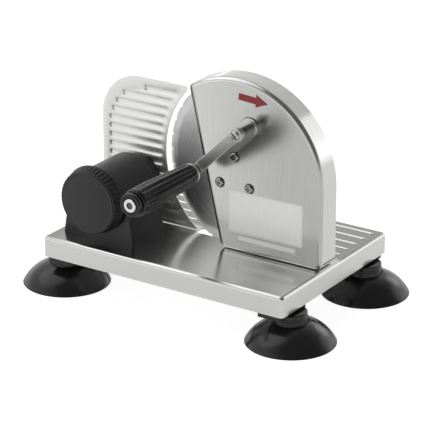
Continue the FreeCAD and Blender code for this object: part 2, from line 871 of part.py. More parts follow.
def make_foot_fasteners():
    spots = quadrant_spots("cup_x", "cup_y")
    body = new_body("cup_studs")
    pins(body, "XY_Plane", spots, "stud_disc_r", "stud_disc_bottom", "stud_disc")
    pins(body, "XY_Plane", spots, "stud_r", "stud_disc_bottom", "stud_top - stud_disc_bottom")

    body = new_body("cup_nuts")
    top = "tray_top - tray_sheet - block_gap - nut_cover"
    sketch = sketch_on(body, "XY_Plane", f"{top} - nut_height")
    for x, y in spots:
        draw_hexagon(sketch, x, y, "nut_r")
    grow(body, sketch, "nut_height")
    drill(body, "XY_Plane", spots, "stud_r + thread_fit", top, "nut_height")

    body = new_body("block_nuts")
    spots = quadrant_spots("weld_stud_x", "weld_stud_y")
    seat = "block_bottom + nut_sink"
    sketch = sketch_on(body, "XY_Plane", seat)
    for x, y in spots:
        draw_hexagon(sketch, x, y, "nut_r")
    grow(body, sketch, "nut_height")
    drill(body, "XY_Plane", spots, "weld_stud_r + thread_fit", seat, "nut_height", along=True)


# Housing

def housing_outline(sketch, inset):
    """The housing's outline about the blade's axis, drawn in by an inset all round."""
    ring = f"(housing_r - {inset})"
    edge = f"(housing_edge - {inset})"
    reach = f"sqrt({ring}^2 - {edge}^2)"
    floor = f"(tray_top - blade_z + {inset})"
    foot_x = f"(-{edge} - {floor} * sin(housing_lean)) / cos(housing_lean)"
    tip_x = f"-{edge} * cos(housing_lean) - {reach} * sin(housing_lean)"
    tip_z = f"-{edge} * sin(housing_lean) + {reach} * cos(housing_lean)"
    corners = [(foot_x, floor), (ring, floor), (ring, "0"), (tip_x, tip_z)]
    trace(sketch, corners, {2: ("0", "0", ring, "ccw")})


def round_housing_corners(body, inset):
    """Rounds the housing's upper tip and its two lower corners."""
    middle = value("tray_top - blade_z") / 2

    def is_tip(edge):
        return along_y(edge) and edge.BoundBox.XMax < 0 and edge.BoundBox.ZMin > 0

    def is_foot(edge):
        return along_y(edge) and edge.BoundBox.ZMax < middle

    round_edges(body, f"housing_tip - {inset}", is_tip)
    round_edges(body, f"housing_corner - {inset}", is_foot)


def make_housing():
    body = new_body("housing_shell", x="blade_x", z="blade_z")
    sketch = sketch_on(body, "XZ_Plane", "-housing_rear")
    housing_outline(sketch, "0")
    grow(body, sketch, "housing_rear - housing_front")
    round_housing_corners(body, "0")
    front = value("housing_front")
    round_edges(body, "housing_round", lambda edge: at_y(edge, front))

    tip = body.Tip
    rear = value("housing_rear")
    faces = [f"Face{i}" for i, face in enumerate(tip.Shape.Faces, start=1)
             if abs(face.BoundBox.YMin - rear) < 0.01]
    hollow = body.newObject("PartDesign::Thickness", "hollow")
    hollow.Base = (tip, faces)
    hollow.Reversed = True
    hollow.Join = 0
    tie(hollow, "Value", "housing_wall")
    settle(body, hollow)

    depth = "housing_rear - cover_sheet - housing_front - housing_wall"
    pins(body, "XZ_Plane", COVER_POSTS, "post_r", "-housing_rear + cover_sheet", depth)
    drill(body, "XZ_Plane", COVER_POSTS, "screw_hole", "-housing_rear + cover_sheet",
          "cover_screw_hole", along=True)
    bosses = [(f"{x} - blade_x", "boss_y") for x in HOUSING_SCREWS]
    floor = "tray_top - blade_z"
    pins(body, "XY_Plane", bosses, "boss_r", f"{floor} + housing_wall", "boss_height")
    drill(body, "XY_Plane", bosses, "screw_hole", floor, "boss_height", along=True)
    drill(body, "XZ_Plane", spots_round("axle_screw_circle"), "screw_hole", "-housing_front",
          "2 * housing_wall")
    drill(body, "XZ_Plane", [(CRANK_DX, CRANK_DZ)], "bush_r + shaft_fit", "-housing_front",
          "2 * housing_wall")

    inset = "(housing_wall + cover_play)"
    cover = new_body("housing_cover", x="blade_x", z="blade_z")
    sketch = sketch_on(cover, "XZ_Plane", "-housing_rear")
    housing_outline(sketch, inset)
    grow(cover, sketch, "cover_sheet")
    round_housing_corners(cover, inset)
    drill(cover, "XZ_Plane", COVER_POSTS, "screw_free_hole", "-housing_rear", "cover_sheet", along=True)
    drill(cover, "XZ_Plane", [("0", "0")], "cover_hub_hole", "-housing_rear", "cover_sheet", along=True)
    drill(cover, "XZ_Plane", [(CRANK_DX, CRANK_DZ)], "rear_bush_r + press_fit", "-housing_rear",
          "cover_sheet", along=True)

    screw_group("cover_screws", COVER_POSTS, "rear", "housing_rear", "cover_screw", x="blade_x", z="blade_z")
    down = [(x, "boss_y") for x in HOUSING_SCREWS]
    screw_group("housing_screws", down, "down", "tray_top - tray_sheet", "housing_screw")


# Blade and its drive

def make_blade_drive():
    place = BLADE_PLACE
    flange_front = "(housing_front + housing_wall)"
    flange_rear = f"({flange_front} + axle_flange)"
    axle = turned_y("blade_axle", [
        ("0", flange_front), ("axle_flange_r", flange_front), ("axle_flange_r", flange_rear),
        ("axle_r", flange_rear), ("axle_r", "axle_rear"), ("0", "axle_rear")], **place)
    drill(axle, "XZ_Plane", spots_round("axle_screw_circle"), "screw_hole", f"-{flange_front}",
          "axle_flange")
    drill(axle, "XZ_Plane", [("0", "0")], "screw_hole", "-axle_rear", "axle_hole", along=True)
    screw_group("axle_screws", spots_round("axle_screw_circle"), "front", "housing_front",
                "housing_wall + axle_flange", **place)

    gear = turned_y("blade_gear", [
        ("blade_bush_r", "hub_nose_front"), ("hub_nose_r", "hub_nose_front"),
        ("hub_nose_r", "blade_gear_front"),
        ("gear_module * (blade_teeth / 2 + 1)", "blade_gear_front"),
        ("gear_module * (blade_teeth / 2 + 1)", "blade_gear_front + blade_gear_width"),
        ("hub_neck_r", "blade_gear_front + blade_gear_width"), ("hub_neck_r", "hub_front"),
        ("hub_r", "hub_front"), ("hub_r", "blade_front"), ("hub_spigot_r", "blade_front"),
        ("hub_spigot_r", "hub_spigot_end"), ("hub_counterbore_r", "hub_spigot_end"),
        ("hub_counterbore_r", "bush_rear"), ("blade_bush_r", "bush_rear")], **place)
    half_pitch = f"{CIRCLE} / blade_teeth / 2"
    cut_teeth(gear, "blade_teeth", "blade_gear_front", "blade_gear_width",
              f"crank_direction + {half_pitch}")
    drill(gear, "XZ_Plane", spots_round("blade_screw_circle"), "screw_hole", "-blade_front",
          "blade_screw_hole", along=True)
    ring_y("blade_bush", "axle_r + shaft_fit", "blade_bush_r - press_fit", "hub_nose_front", "bush_rear",
           **place)
    ring_y("hub_washer", "screw_hole", "hub_washer_r", "axle_rear", "axle_rear + hub_washer", **place)
    screw_group("hub_screw", [("0", "0")], "rear", "axle_rear + hub_washer",
                "hub_washer + hub_screw_grip", **place)

    blade_rear = "(blade_front + blade_sheet)"
    blade = ring_y("blade", "blade_bore", "blade_r", "blade_front", blade_rear, **place)
    sketch = sketch_on(blade, "XY_Plane")
    beyond = "blade_r + over"
    trace(sketch, [("blade_r - bevel_width", "blade_front"), (beyond, "blade_front - over"),
                   (beyond, "blade_front + bevel_depth"), ("blade_r", "blade_front + bevel_depth")])
    spin(blade, sketch, cutting=True)
    sketch = sketch_on(blade, "XZ_Plane", f"-{blade_rear}")
    draw_circle(sketch, "blade_r - notch_depth + notch_r", "0", "notch_r")
    notch = cut(blade, sketch, "2 * blade_sheet", along=True)
    repeat_round(blade, [notch], "Y_Axis", "notch_count")
    drill(blade, "XZ_Plane", spots_round("blade_screw_circle"), "screw_free_hole", f"-{blade_rear}",
          "2 * blade_sheet", along=True)

    cap_rear = f"({blade_rear} + cap_sheet)"
    cap = turned_y("blade_cap", [
        ("0", blade_rear), ("cap_r", blade_rear), ("cap_r", f"{cap_rear} - cap_edge"),
        ("cap_r - 2 * cap_edge", cap_rear), ("0", cap_rear)], **place)
    drill(cap, "XZ_Plane", spots_round("blade_screw_circle"), "screw_free_hole", f"-{cap_rear}",
          "cap_sheet", along=True)
    screw_group("blade_screws", spots_round("blade_screw_circle"), "rear", cap_rear,
                "cap_sheet + blade_sheet + blade_screw_grip", **place)


# Crank

def make_crank_drive():
    place = CRANK_PLACE
    seat = "(arm_front + arm_sheet + arm_boss)"
    shaft = turned_y("crank_shaft", [
        ("0", seat), ("shaft_r", seat), ("shaft_r", "clip_front"),
        ("clip_groove_r", "clip_front"), ("clip_groove_r", "clip_front + clip_sheet"),
        ("shaft_r", "clip_front + clip_sheet"), ("shaft_r", "shaft_rear"), ("0", "shaft_rear")], **place)
    sketch = sketch_on(shaft, "XZ_Plane", f"-{seat}")
    draw_rectangle(sketch, "-shaft_square", "shaft_square", "-shaft_square", "shaft_square")
    grow(shaft, sketch, "arm_sheet + arm_boss - square_short")
    drill(shaft, "XZ_Plane", [("0", "0")], "screw_hole", "-arm_front", "arm_screw_hole")

    gear = turned_y("crank_gear", [
        ("shaft_r", "crank_hub_front"), ("crank_hub_r", "crank_hub_front"),
        ("crank_hub_r", "crank_gear_front"),
        ("gear_module * (crank_teeth / 2 + 1)", "crank_gear_front"),
        ("gear_module * (crank_teeth / 2 + 1)", "crank_gear_front + crank_gear_width"),
        ("crank_hub_r", "crank_gear_front + crank_gear_width"), ("crank_hub_r", "crank_hub_rear"),
        ("shaft_r", "crank_hub_rear")], **place)
    cut_teeth(gear, "crank_teeth", "crank_gear_front", "crank_gear_width", "crank_direction + 180")

    face = "housing_front"
    ring = [
        ("shaft_r + shaft_fit", f"{face} - collar_disc - collar_step"),
        ("collar_step_r", f"{face} - collar_disc - collar_step"),
        ("collar_step_r", f"{face} - collar_disc"), ("collar_disc_r", f"{face} - collar_disc"),
        ("collar_disc_r", face), ("bush_r", face), ("bush_r", f"{face} + bush_inside"),
        ("shaft_r + shaft_fit", f"{face} + bush_inside")]
    turned_y("front_bush", ring, **place)
    nut = new_body("bush_nut", **place)
    nut_front = f"({face} + housing_wall)"
    sketch = sketch_on(nut, "XZ_Plane", f"-({nut_front} + bush_nut)")
    draw_hexagon(sketch, "0", "0", "bush_nut_r")
    grow(nut, sketch, "bush_nut")
    drill(nut, "XZ_Plane", [("0", "0")], "bush_r + press_fit", f"-({nut_front} + bush_nut)", "bush_nut",
          along=True)
    seat = "(housing_rear - cover_sheet)"
    turned_y("rear_bush", [
        ("shaft_r + shaft_fit", f"{seat} - rear_flange"), ("rear_flange_r", f"{seat} - rear_flange"),
        ("rear_flange_r", seat), ("rear_bush_r", seat), ("rear_bush_r", "housing_rear + rear_bush_proud"),
        ("shaft_r + shaft_fit", "housing_rear + rear_bush_proud")], **place)
    clip_rear = "(clip_front + clip_sheet)"
    clip = ring_y("shaft_clip", "clip_groove_r + press_fit", "clip_r", "clip_front", clip_rear, **place)
    sketch = sketch_on(clip, "XZ_Plane", f"-{clip_rear}")
    draw_rectangle(sketch, "0", "clip_r + over", "-clip_groove_r", "clip_groove_r")
    cut(clip, sketch, "clip_sheet", along=True)


def make_crank_arm():
    place = CRANK_PLACE
    arm_rear = "(arm_front + arm_sheet)"
    arm = new_body("crank_arm", turn="arm_angle", **place)
    sketch = sketch_on(arm, "XZ_Plane", f"-{arm_rear}")
    draw_rectangle(sketch, "0", "arm_length", "-arm_half", "arm_half")
    grow(arm, sketch, "arm_sheet")
    pins(arm, "XZ_Plane", [("0", "0")], "arm_hub_r", f"-{arm_rear}", "arm_sheet")
    pins(arm, "XZ_Plane", [("arm_length", "0")], "arm_tip_r", f"-{arm_rear}", "arm_sheet")
    front = value("arm_front")
    round_edges(arm, "arm_edge", lambda edge: at_y(edge, front))
    pins(arm, "XZ_Plane", [("0", "0")], "arm_boss_r", f"-{arm_rear}", "arm_boss", back=True)
    square = "(shaft_square + square_play)"
    sketch = sketch_on(arm, "XZ_Plane", f"-({arm_rear} + arm_boss)")
    corner = f"{square} * sqrt(2)"
    # The square hole lines up with the shaft's square, which stays level while the arm slants
    corners = []
    for i in range(4):
        angle = f"(45 - arm_angle + {i * 90})"
        corners.append((f"{corner} * cos{angle}", f"{corner} * sin{angle}"))
    trace(sketch, corners)
    cut(arm, sketch, "arm_sheet + arm_boss", along=True)
    drill(arm, "XZ_Plane", [("arm_length", "0")], "spindle_r + press_fit", f"-{arm_rear}",
          "arm_sheet", along=True)
    # The screw's slot stands across the arm
    screw_group("arm_screw", [("0", "0")], "front", "arm_front", "arm_screw", turn="arm_angle",
                slotted=True, **place)

    place = {"x": f"{place['x']} + arm_length * cos(arm_angle)",
             "z": f"{place['z']} + arm_length * sin(arm_angle)"}
    shoulder = "(arm_front - spindle_shoulder)"
    cap_front = "(grip_front - end_cap)"
    cap_seat = f"({cap_front} + end_recess)"
    tip = f"({cap_seat} - end_gap)"
    spindle = turned_y("handle_spindle", [
        ("0", tip), ("spindle_r", tip), ("spindle_r", shoulder),
        ("spindle_shoulder_r", shoulder), ("spindle_shoulder_r", "arm_front"),
        ("spindle_r", "arm_front"),
        ("spindle_r", arm_rear), ("spindle_rivet_r", arm_rear),
        ("spindle_rivet_r", f"{arm_rear} + spindle_rivet"), ("0", f"{arm_rear} + spindle_rivet")], **place)
    drill(spindle, "XZ_Plane", [("0", "0")], "screw_hole", f"-{tip}", "end_screw_hole")

    turned_y("handle_grip", [
        ("grip_bore", "grip_front"), ("grip_outer_r - grip_end_edge", "grip_front"),
        ("grip_outer_r", "grip_front + grip_end_edge"), ("grip_belly_r", "grip_belly"),
        ("grip_waist_r", "(grip_belly + grip_rear) / 2"), ("grip_inner_r", "grip_rear - grip_edge"),
        ("grip_inner_r - grip_edge", "grip_rear"), ("grip_bore", "grip_rear")], **place)
    ferrule = ring_y("handle_ferrule", "grip_bore", "ferrule_r", "grip_rear",
                     "grip_rear + ferrule_length", **place)
    rear = value("grip_rear + ferrule_length")
    ferrule_r = value("ferrule_r")
    round_edges(ferrule, "ferrule_edge", lambda edge: at_y(edge, rear) and edge.BoundBox.XMax > ferrule_r - 0.1)
    # The end cap is a collar on a neck, with a recess for the screw's head
    shoulder = "(grip_front - end_neck)"
    cap = turned_y("handle_end_cap", [
        ("grip_bore", "grip_front"), ("end_neck_r", "grip_front"), ("end_neck_r", shoulder),
        ("end_cap_r", shoulder), ("end_cap_r", cap_front), ("end_recess_r", cap_front),
        ("end_recess_r", cap_seat), ("grip_bore", cap_seat)], **place)
    rims = [value(cap_front), value(shoulder)]
    cap_r = value("end_cap_r")

    def is_rim(edge):
        return edge.BoundBox.XMax > cap_r - 0.1 and any(at_y(edge, y) for y in rims)

    round_edges(cap, "end_cap_edge", is_rim)
    head = f"({tip} - end_screw)"
    screw = turned_y("handle_screw", [
        ("0", head), ("end_screw_r - end_screw_edge", head), ("end_screw_r", f"{head} + end_screw_edge"),
        ("end_screw_r", tip), ("screw_r", tip), ("screw_r", f"{tip} + end_screw_grip"),
        ("0", f"{tip} + end_screw_grip")], **place)
    cut_crosses(screw, "XZ_Plane", [("0", "0")], f"-{head}", "flat_cross_depth", False)


# Gauge plate and thickness adjuster

def make_gauge_plate():
    body = new_body("gauge_plate")
    centre = ("blade_x", "blade_z")
    foot = "(plate_bottom - blade_z)"
    crown = "(plate_top - blade_z)"
    corners = [
        ("plate_left", "plate_bottom"),
        (f"blade_x - sqrt(plate_gap_r^2 - {foot}^2)", "plate_bottom"),
        (f"blade_x - sqrt(plate_gap_r^2 - {crown}^2)", "plate_top"),
        ("plate_left + plate_corner", "plate_top"),
        ("plate_left", "plate_top - plate_corner"),
    ]
    arcs = {
        1: (*centre, "plate_gap_r", "cw"),
        3: ("plate_left + plate_corner", "plate_top - plate_corner", "plate_corner", "ccw"),
    }
    sketch = sketch_on(body, "XZ_Plane", "-(plate_front + plate_sheet)")
    trace(sketch, corners, arcs)
    grow(body, sketch, "plate_sheet")
    bottom, top = value("plate_bottom"), value("plate_top")
    round_edges(body, "plate_foot", lambda edge: along_y(edge) and edge.BoundBox.ZMax < bottom + 0.1)
    round_edges(body, "plate_tip", lambda edge: along_y(edge) and edge.BoundBox.ZMin > top - 0.1
                and edge.BoundBox.XMin > -60)

    # Each groove ends on lines drawn in from the plate's edges, so the upper ones are shorter
    for half, out, length, cutting in (
            ("groove_half", "-(plate_front + plate_sheet)", "groove_depth", False),
            ("(groove_half - emboss_wall)", "-plate_front", "groove_depth", True)):
        sketch = sketch_on(body, "XZ_Plane", out)
        for i in range(int(value("groove_count"))):
            z = f"(groove_first - {i} * groove_pitch)"
            right = f"(blade_x - sqrt((plate_gap_r + groove_inset)^2 - ({z} - blade_z)^2) - groove_half)"
            left = "(groove_left + groove_half)"
            if value(z) > value("groove_corner_z"):
                run = f"sqrt(groove_corner_r^2 - ({z} - groove_corner_z)^2)"
                left = f"(groove_corner_x - {run} + groove_half)"
            draw_slot(sketch, left, right, z, half)
        if cutting:
            cut(body, sketch, length)
        else:
            grow(body, sketch, length, back=True)
    seats = [(f"adjuster_x + {x}", f"adjuster_z + {z}") for x, z in spots_round("carrier_circle")]
    drill(body, "XZ_Plane", seats, "pan_r + seat_play", "-(plate_front + plate_sheet + groove_depth)",
          "groove_depth", along=True)
    drill(body, "XZ_Plane", seats, "screw_free_hole", "-(plate_front + plate_sheet)", "plate_sheet",
          along=True)


def make_carrier():
    place = ADJUSTER_PLACE
    rear = "plate_front"
    carrier = turned_y("gauge_carrier", [
        ("0", f"{rear} - sleeve_floor"), ("sleeve_bore", f"{rear} - sleeve_floor"),
        ("sleeve_bore", "sleeve_front"), ("sleeve_r", "sleeve_front"), ("sleeve_r", rear), ("0", rear)],
        **place)
    # Two keys keep the sleeve from turning in the body
    sketch = sketch_on(carrier, "XZ_Plane", "-body_rear")
    for side in (1, -1):
        inner, outer = sorted([f"{side} * (sleeve_r - over)", f"{side} * key_r"], key=value)
        draw_rectangle(sketch, inner, outer, "-key_half", "key_half")
    grow(carrier, sketch, "body_rear - sleeve_front")
    drill(carrier, "XZ_Plane", spots_round("carrier_circle"), "screw_hole", f"-{rear}", "carrier_hole",
          along=True)
    spot = [("0", "pin_y")]
    drill(carrier, "XY_Plane", spot, "pin_r + press_fit", "sleeve_r + over",
          "sleeve_r - sleeve_bore + 3 * over")
    body = new_body("cam_pin", **place)
    pins(body, "XY_Plane", spot, "pin_r", "pin_end", "pin_head - pin_end")

    screws = new_body("carrier_screws", **place)
    seat = "(plate_front + plate_sheet)"
    pins(screws, "XZ_Plane", spots_round("carrier_circle"), "screw_r", f"-{seat}", "carrier_screw")
    pins(screws, "XZ_Plane", spots_round("carrier_circle"), "pan_r", f"-{seat}", "groove_depth", back=True)
    top = value(f"{seat} + groove_depth")
    round_edges(screws, "carrier_head_round", lambda edge: at_y(edge, top))
    cut_crosses(screws, "XZ_Plane", spots_round("carrier_circle"), f"-({seat} + groove_depth)",
                "flat_cross_depth", True)


def make_adjuster_body():
    place = ADJUSTER_PLACE
    body = new_body("adjuster_body", **place)
    floor = "(tray_top - adjuster_z)"
    shoulder = f"({floor} + foot_shoulder)"
    sketch = sketch_on(body, "XZ_Plane", "-foot_rear")
    corners = [
        ("-foot_half", floor), ("foot_half", floor), ("foot_shoulder_half", shoulder),
        ("body_r", "0"), ("-body_r", "0"), ("-foot_shoulder_half", shoulder)]
    trace(sketch, corners, {3: ("0", "0", "body_r", "ccw")})
    grow(body, sketch, "foot_rear - foot_front")
    round_edges(body, "foot_round", is_flared)
    pins(body, "XZ_Plane", [("0", "0")], "body_r", "-body_rear", "body_rear - body_front")
    front, rear = value("body_front"), value("body_rear")
    round_edges(body, "body_round", lambda edge: at_y(edge, front) or at_y(edge, rear))
    drill(body, "XZ_Plane", [("0", "0")], "body_bore", "-body_rear",
          "body_rear - body_front - body_wall", along=True)
    drill(body, "XZ_Plane", [("0", "0")], "drum_stem_r + drum_stem_play", "-body_front", "body_wall")
    sketch = sketch_on(body, "XZ_Plane", "-body_rear")
    for side in (1, -1):
        reach = f"{side} * (key_r + key_play)"
        inner, outer = sorted([f"{side} * (body_bore - 2 * over)", reach], key=value)
        draw_rectangle(sketch, inner, outer, "-(key_half + key_play)", "key_half + key_play")
    cut(body, sketch, "body_rear - body_front - body_wall", along=True)
    sketch = sketch_on(body, "XY_Plane", floor)
    draw_rectangle(sketch, "-foot_hollow_half", "foot_hollow_half", "foot_hollow_front",
                   "foot_hollow_rear")
    cut(body, sketch, "foot_hollow", along=True)
    drill(body, "XY_Plane", ADJUSTER_SCREWS, "screw_hole", floor, "foot_hole", along=True)
    spots = [(f"adjuster_x + {x}", y) for x, y in ADJUSTER_SCREWS]
    screw_group("adjuster_screws", spots, "down", "tray_top - tray_sheet", "foot_screw")


def is_flared(edge):
    """True for the slanted upright edges of the adjuster's foot."""
    box = edge.BoundBox
    steep = box.ZLength > 0.6 * edge.Length and box.ZLength > value("foot_shoulder") / 2
    return box.YLength < 0.01 and steep and box.ZMax < -1


def make_drum():
    body = new_body("cam_drum", **KNOB_PLACE)
    sketch = sketch_on(body, "XY_Plane")
    seat = "(knob_rear + drum_seat)"
    trace(sketch, [
        ("0", seat), ("drum_stem_r", seat), ("drum_stem_r", "drum_front"), ("drum_r", "drum_front"),
        ("drum_r", "drum_rear"), ("0", "drum_rear")])
    spin(body, sketch)
    # The cam groove winds round the drum from its end near the plate
    before = body.Shape.Volume
    sketch = sketch_on(body, "XY_Plane")
    start = "(pin_y + cam_lead * cam_start_turn / 360)"
    draw_rectangle(sketch, "groove_floor", "drum_r + over", f"{start} - groove_wide",
                   f"{start} + groove_wide")
    groove = body.newObject("PartDesign::SubtractiveHelix", "groove")
    groove.Profile = sketch
    groove.ReferenceAxis = (sketch, ["V_Axis"])
    groove.Mode = "pitch-turns-angle"
    groove.Reversed = True
    tie(groove, "Pitch", "cam_lead")
    tie(groove, "Turns", "cam_turn / 360")
    body.Tip = groove
    check_cut(body, before, groove)
    sketch = sketch_on(body, "XZ_Plane", f"-{seat}")
    draw_rectangle(sketch, "-drum_drive", "drum_drive", "-drum_drive", "drum_drive")
    grow(body, sketch, "drum_drive_length")
    drill(body, "XZ_Plane", [("0", "0")], "screw_hole", f"-{seat} + drum_drive_length", "drum_hole")

    front = "body_front + body_wall + washer_gap"
    ring_y("wave_washer", "drum_stem_r + washer_play", "washer_r", front, f"{front} + washer_sheet",
           **ADJUSTER_PLACE)


def make_knob():
    place = KNOB_PLACE
    floor = "(knob_front + knob_floor)"
    knob = turned_y("adjuster_knob", [
        ("0", "knob_front"), ("knob_front_r - knob_edge", "knob_front"),
        ("knob_front_r", "knob_front + knob_edge"), ("knob_rear_r", "knob_rear - knob_edge"),
        ("knob_rear_r - knob_edge", "knob_rear"), ("knob_hollow_r", "knob_rear"),
        ("knob_hollow_r - knob_draft", floor), ("knob_hub_r", floor), ("knob_hub_r", "knob_rear"),
        ("0", "knob_rear")], **place)
    # A round groove runs down the slanted rim between each two ridges
    slope = "((knob_rear_r - knob_front_r) / (knob_rear - knob_front - 2 * knob_edge))"
    ends = []
    for y in ("(knob_front - over)", "(knob_rear + over)"):
        sketch = sketch_on(knob, "XZ_Plane", f"-{y}")
        reach = f"knob_front_r + {slope} * ({y} - knob_front - knob_edge) + ridge_r - ridge_depth"
        draw_circle(sketch, reach, "0", "ridge_r")
        ends.append(sketch)
    before = knob.Shape.Volume
    groove = knob.newObject("PartDesign::SubtractiveLoft", "groove")
    groove.Profile = ends[0]
    groove.Sections = ends[1:]
    groove.Ruled = True
    knob.Tip = groove
    check_cut(knob, before, groove)
    repeat_round(knob, [groove], "Y_Axis", "ridge_count")
    centre = [("0", "0")]
    drill(knob, "XZ_Plane", centre, "screw_hole", "-knob_rear", "knob_rear - knob_front", along=True)
    sketch = sketch_on(knob, "XZ_Plane", "-knob_rear")
    side = "(drum_drive + square_play)"
    draw_rectangle(sketch, f"-{side}", side, f"-{side}", side)
    cut(knob, sketch, "knob_drive_depth", along=True)
    seat = "(knob_front + pan_height + knob_screw_sink)"
    drill(knob, "XZ_Plane", centre, "pan_r + seat_play", "-knob_front", "pan_height + knob_screw_sink")
    screw_group("knob_screw", centre, "front", seat, "knob_screw", **ADJUSTER_PLACE)
    cap = ring_y("knob_cap", "0", "knob_cap_r", "knob_front - knob_cap", "knob_front", **ADJUSTER_PLACE)
    face = value("knob_front - knob_cap")
    round_edges(cap, "knob_cap_edge", lambda edge: at_y(edge, face))


# Stickers

def make_stickers():
    place = BLADE_PLACE
    out = "-housing_front"
    for node, label in (("rating_label", "label"), ("strip_label", "strip")):
        body = new_body(node, **place)
        sketch = sketch_on(body, "XZ_Plane", out)
        draw_rectangle(sketch, f"{label}_left", f"{label}_right", f"{label}_bottom", f"{label}_top")
        grow(body, sketch, "sticker")
        round_edges(body, "sticker_corner", along_y)

    body = new_body("rim_label", **place)
    sketch = sketch_on(body, "XZ_Plane", "-rim_label_rear")
    inner, outer = "(housing_r + 0.01)", "(housing_r + 0.01 + sticker)"
    first, last = "(rim_label_first)", "(rim_label_last)"
    corners = [
        (f"{outer} * cos{first}", f"{outer} * sin{first}"), (f"{outer} * cos{last}", f"{outer} * sin{last}"),
        (f"{inner} * cos{last}", f"{inner} * sin{last}"), (f"{inner} * cos{first}", f"{inner} * sin{first}")]
    trace(sketch, corners, {0: ("0", "0", outer, "ccw"), 2: ("0", "0", inner, "cw")})
    grow(body, sketch, "rim_label_rear - rim_label_front")

    body = new_body("arrow_sticker", x="blade_x + arrow_x", z="blade_z + arrow_z", turn="arrow_turn")
    sketch = sketch_on(body, "XZ_Plane", out)
    neck = "arrow_length - arrow_head"
    trace(sketch, [
        ("0", "-arrow_half"), (neck, "-arrow_half"), (neck, "-arrow_head_half"), ("arrow_length", "0"),
        (neck, "arrow_head_half"), (neck, "arrow_half"), ("0", "arrow_half")])
    grow(body, sketch, "sticker")


for name, sx, sy in CORNERS:
    make_foot(name, sx, sy)
make_tray()
make_foot_fasteners()
make_housing()
make_blade_drive()
make_crank_drive()
make_crank_arm()
make_gauge_plate()
make_carrier()
make_adjuster_body()
make_drum()
make_knob()
make_stickers()

doc.recompute()
for item in doc.Objects:
    if "Invalid" in item.State or "Error" in item.State:
        raise ValueError(f"{item.Label} failed: {item.State}")
os.makedirs("parts", exist_ok=True)
for body in nodes:
    shape = body.Shape
    if shape.isNull() or not shape.isValid():
        raise ValueError(f"{body.Label} has no valid shape")
    shape.exportStep(f"parts/{body.Label}.step")
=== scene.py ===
"""Finishes and detailed pieces of the hand crank bread slicer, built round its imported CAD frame."""

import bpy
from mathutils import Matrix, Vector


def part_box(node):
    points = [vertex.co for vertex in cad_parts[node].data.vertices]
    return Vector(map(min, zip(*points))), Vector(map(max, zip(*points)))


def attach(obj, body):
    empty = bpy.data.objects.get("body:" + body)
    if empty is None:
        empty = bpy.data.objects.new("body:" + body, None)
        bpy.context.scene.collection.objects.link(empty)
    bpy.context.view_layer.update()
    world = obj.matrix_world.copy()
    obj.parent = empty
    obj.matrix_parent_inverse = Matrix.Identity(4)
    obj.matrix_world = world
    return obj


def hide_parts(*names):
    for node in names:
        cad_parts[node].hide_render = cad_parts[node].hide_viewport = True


bl_info = {
    "name": "Hand crank bread slicer",
    "version": (1, 0, 0),
    "blender": (4, 5, 0),
    "location": "3D View > Sidebar > Slicer",
    "description": "Gives the packed slicer its finishes, its detailed pieces and a studio",
    "category": "Add Mesh",
}

import math

import bmesh
import bpy
from bpy.props import FloatProperty, FloatVectorProperty, IntProperty, PointerProperty
from mathutils import Matrix, Vector
from mathutils.geometry import delaunay_2d_cdt

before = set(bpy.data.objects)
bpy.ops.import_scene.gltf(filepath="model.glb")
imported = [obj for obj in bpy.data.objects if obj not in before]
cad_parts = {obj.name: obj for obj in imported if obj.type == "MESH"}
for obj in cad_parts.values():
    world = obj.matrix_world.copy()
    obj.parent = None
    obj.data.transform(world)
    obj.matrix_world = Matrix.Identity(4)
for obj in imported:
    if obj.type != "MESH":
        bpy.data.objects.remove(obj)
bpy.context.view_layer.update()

MM = 0.001
TURN = 2 * math.pi


# Places and sizes read from the frame

def centre(node):
    low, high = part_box(node)
    return (low + high) / 2


def size(node):
    low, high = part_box(node)
    return high - low


BLADE_AXIS = centre("blade")
CRANK_AXIS = centre("front_bush")
GRIP_AXIS = centre("handle_grip")
KNOB_AXIS = centre("knob_cap")
TRAY_Y = centre("base_tray").y
CORNERS = ("front_left", "front_right", "rear_left", "rear_right")

# The part's own sizes that no box of the frame gives

RIB_HEIGHT = 1.0 * MM
TRAY_MIDDLE = (0.0, TRAY_Y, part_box("base_tray")[1].z - RIB_HEIGHT)
HOUSING_RADIUS = 88 * MM
HOUSING_EDGE = 30.7 * MM
HOUSING_LEAN = math.radians(13)
AXLE_SCREW_CIRCLE = 17.5 * MM
CARRIER_SCREW_CIRCLE = 18 * MM


def three_round(axis, radius):
    """The places of three screws round an axis along Y, the first one straight above it."""
    angles = [TURN / 4 + TURN * k / 3 for k in range(3)]
    return [axis + Vector((math.cos(a), 0.0, math.sin(a))) * radius for a in angles]


# Settings that a user would change

def linear(code):
    """The linear values, with full opacity, of an sRGB hex colour."""
    parts = [int(code[i:i + 2], 16) / 255 for i in (1, 3, 5)]
    return [c / 12.92 if c <= 0.04045 else ((c + 0.055) / 1.055) ** 2.4 for c in parts] + [1.0]


def length(name, description, default):
    """A size in metres that is shown in the scene's own unit."""
    return FloatProperty(name=name, description=description, default=default, unit="LENGTH", precision=4)


def colour(name, description, code):
    return FloatVectorProperty(name=name, description=description, default=linear(code), size=4,
                               subtype="COLOR", min=0.0, max=1.0)


def number(name, description, default, least):
    return IntProperty(name=name, description=description, default=default, min=least)


class SLICER_PG_cups(bpy.types.PropertyGroup):
    dome: length("Dome", "Radius of the dome's round profile", 38 * MM)
    wall: length("Wall", "Thickness of the rubber", 2.4 * MM)
    steps: number("Steps", "Faces round each cup", 128, 24)


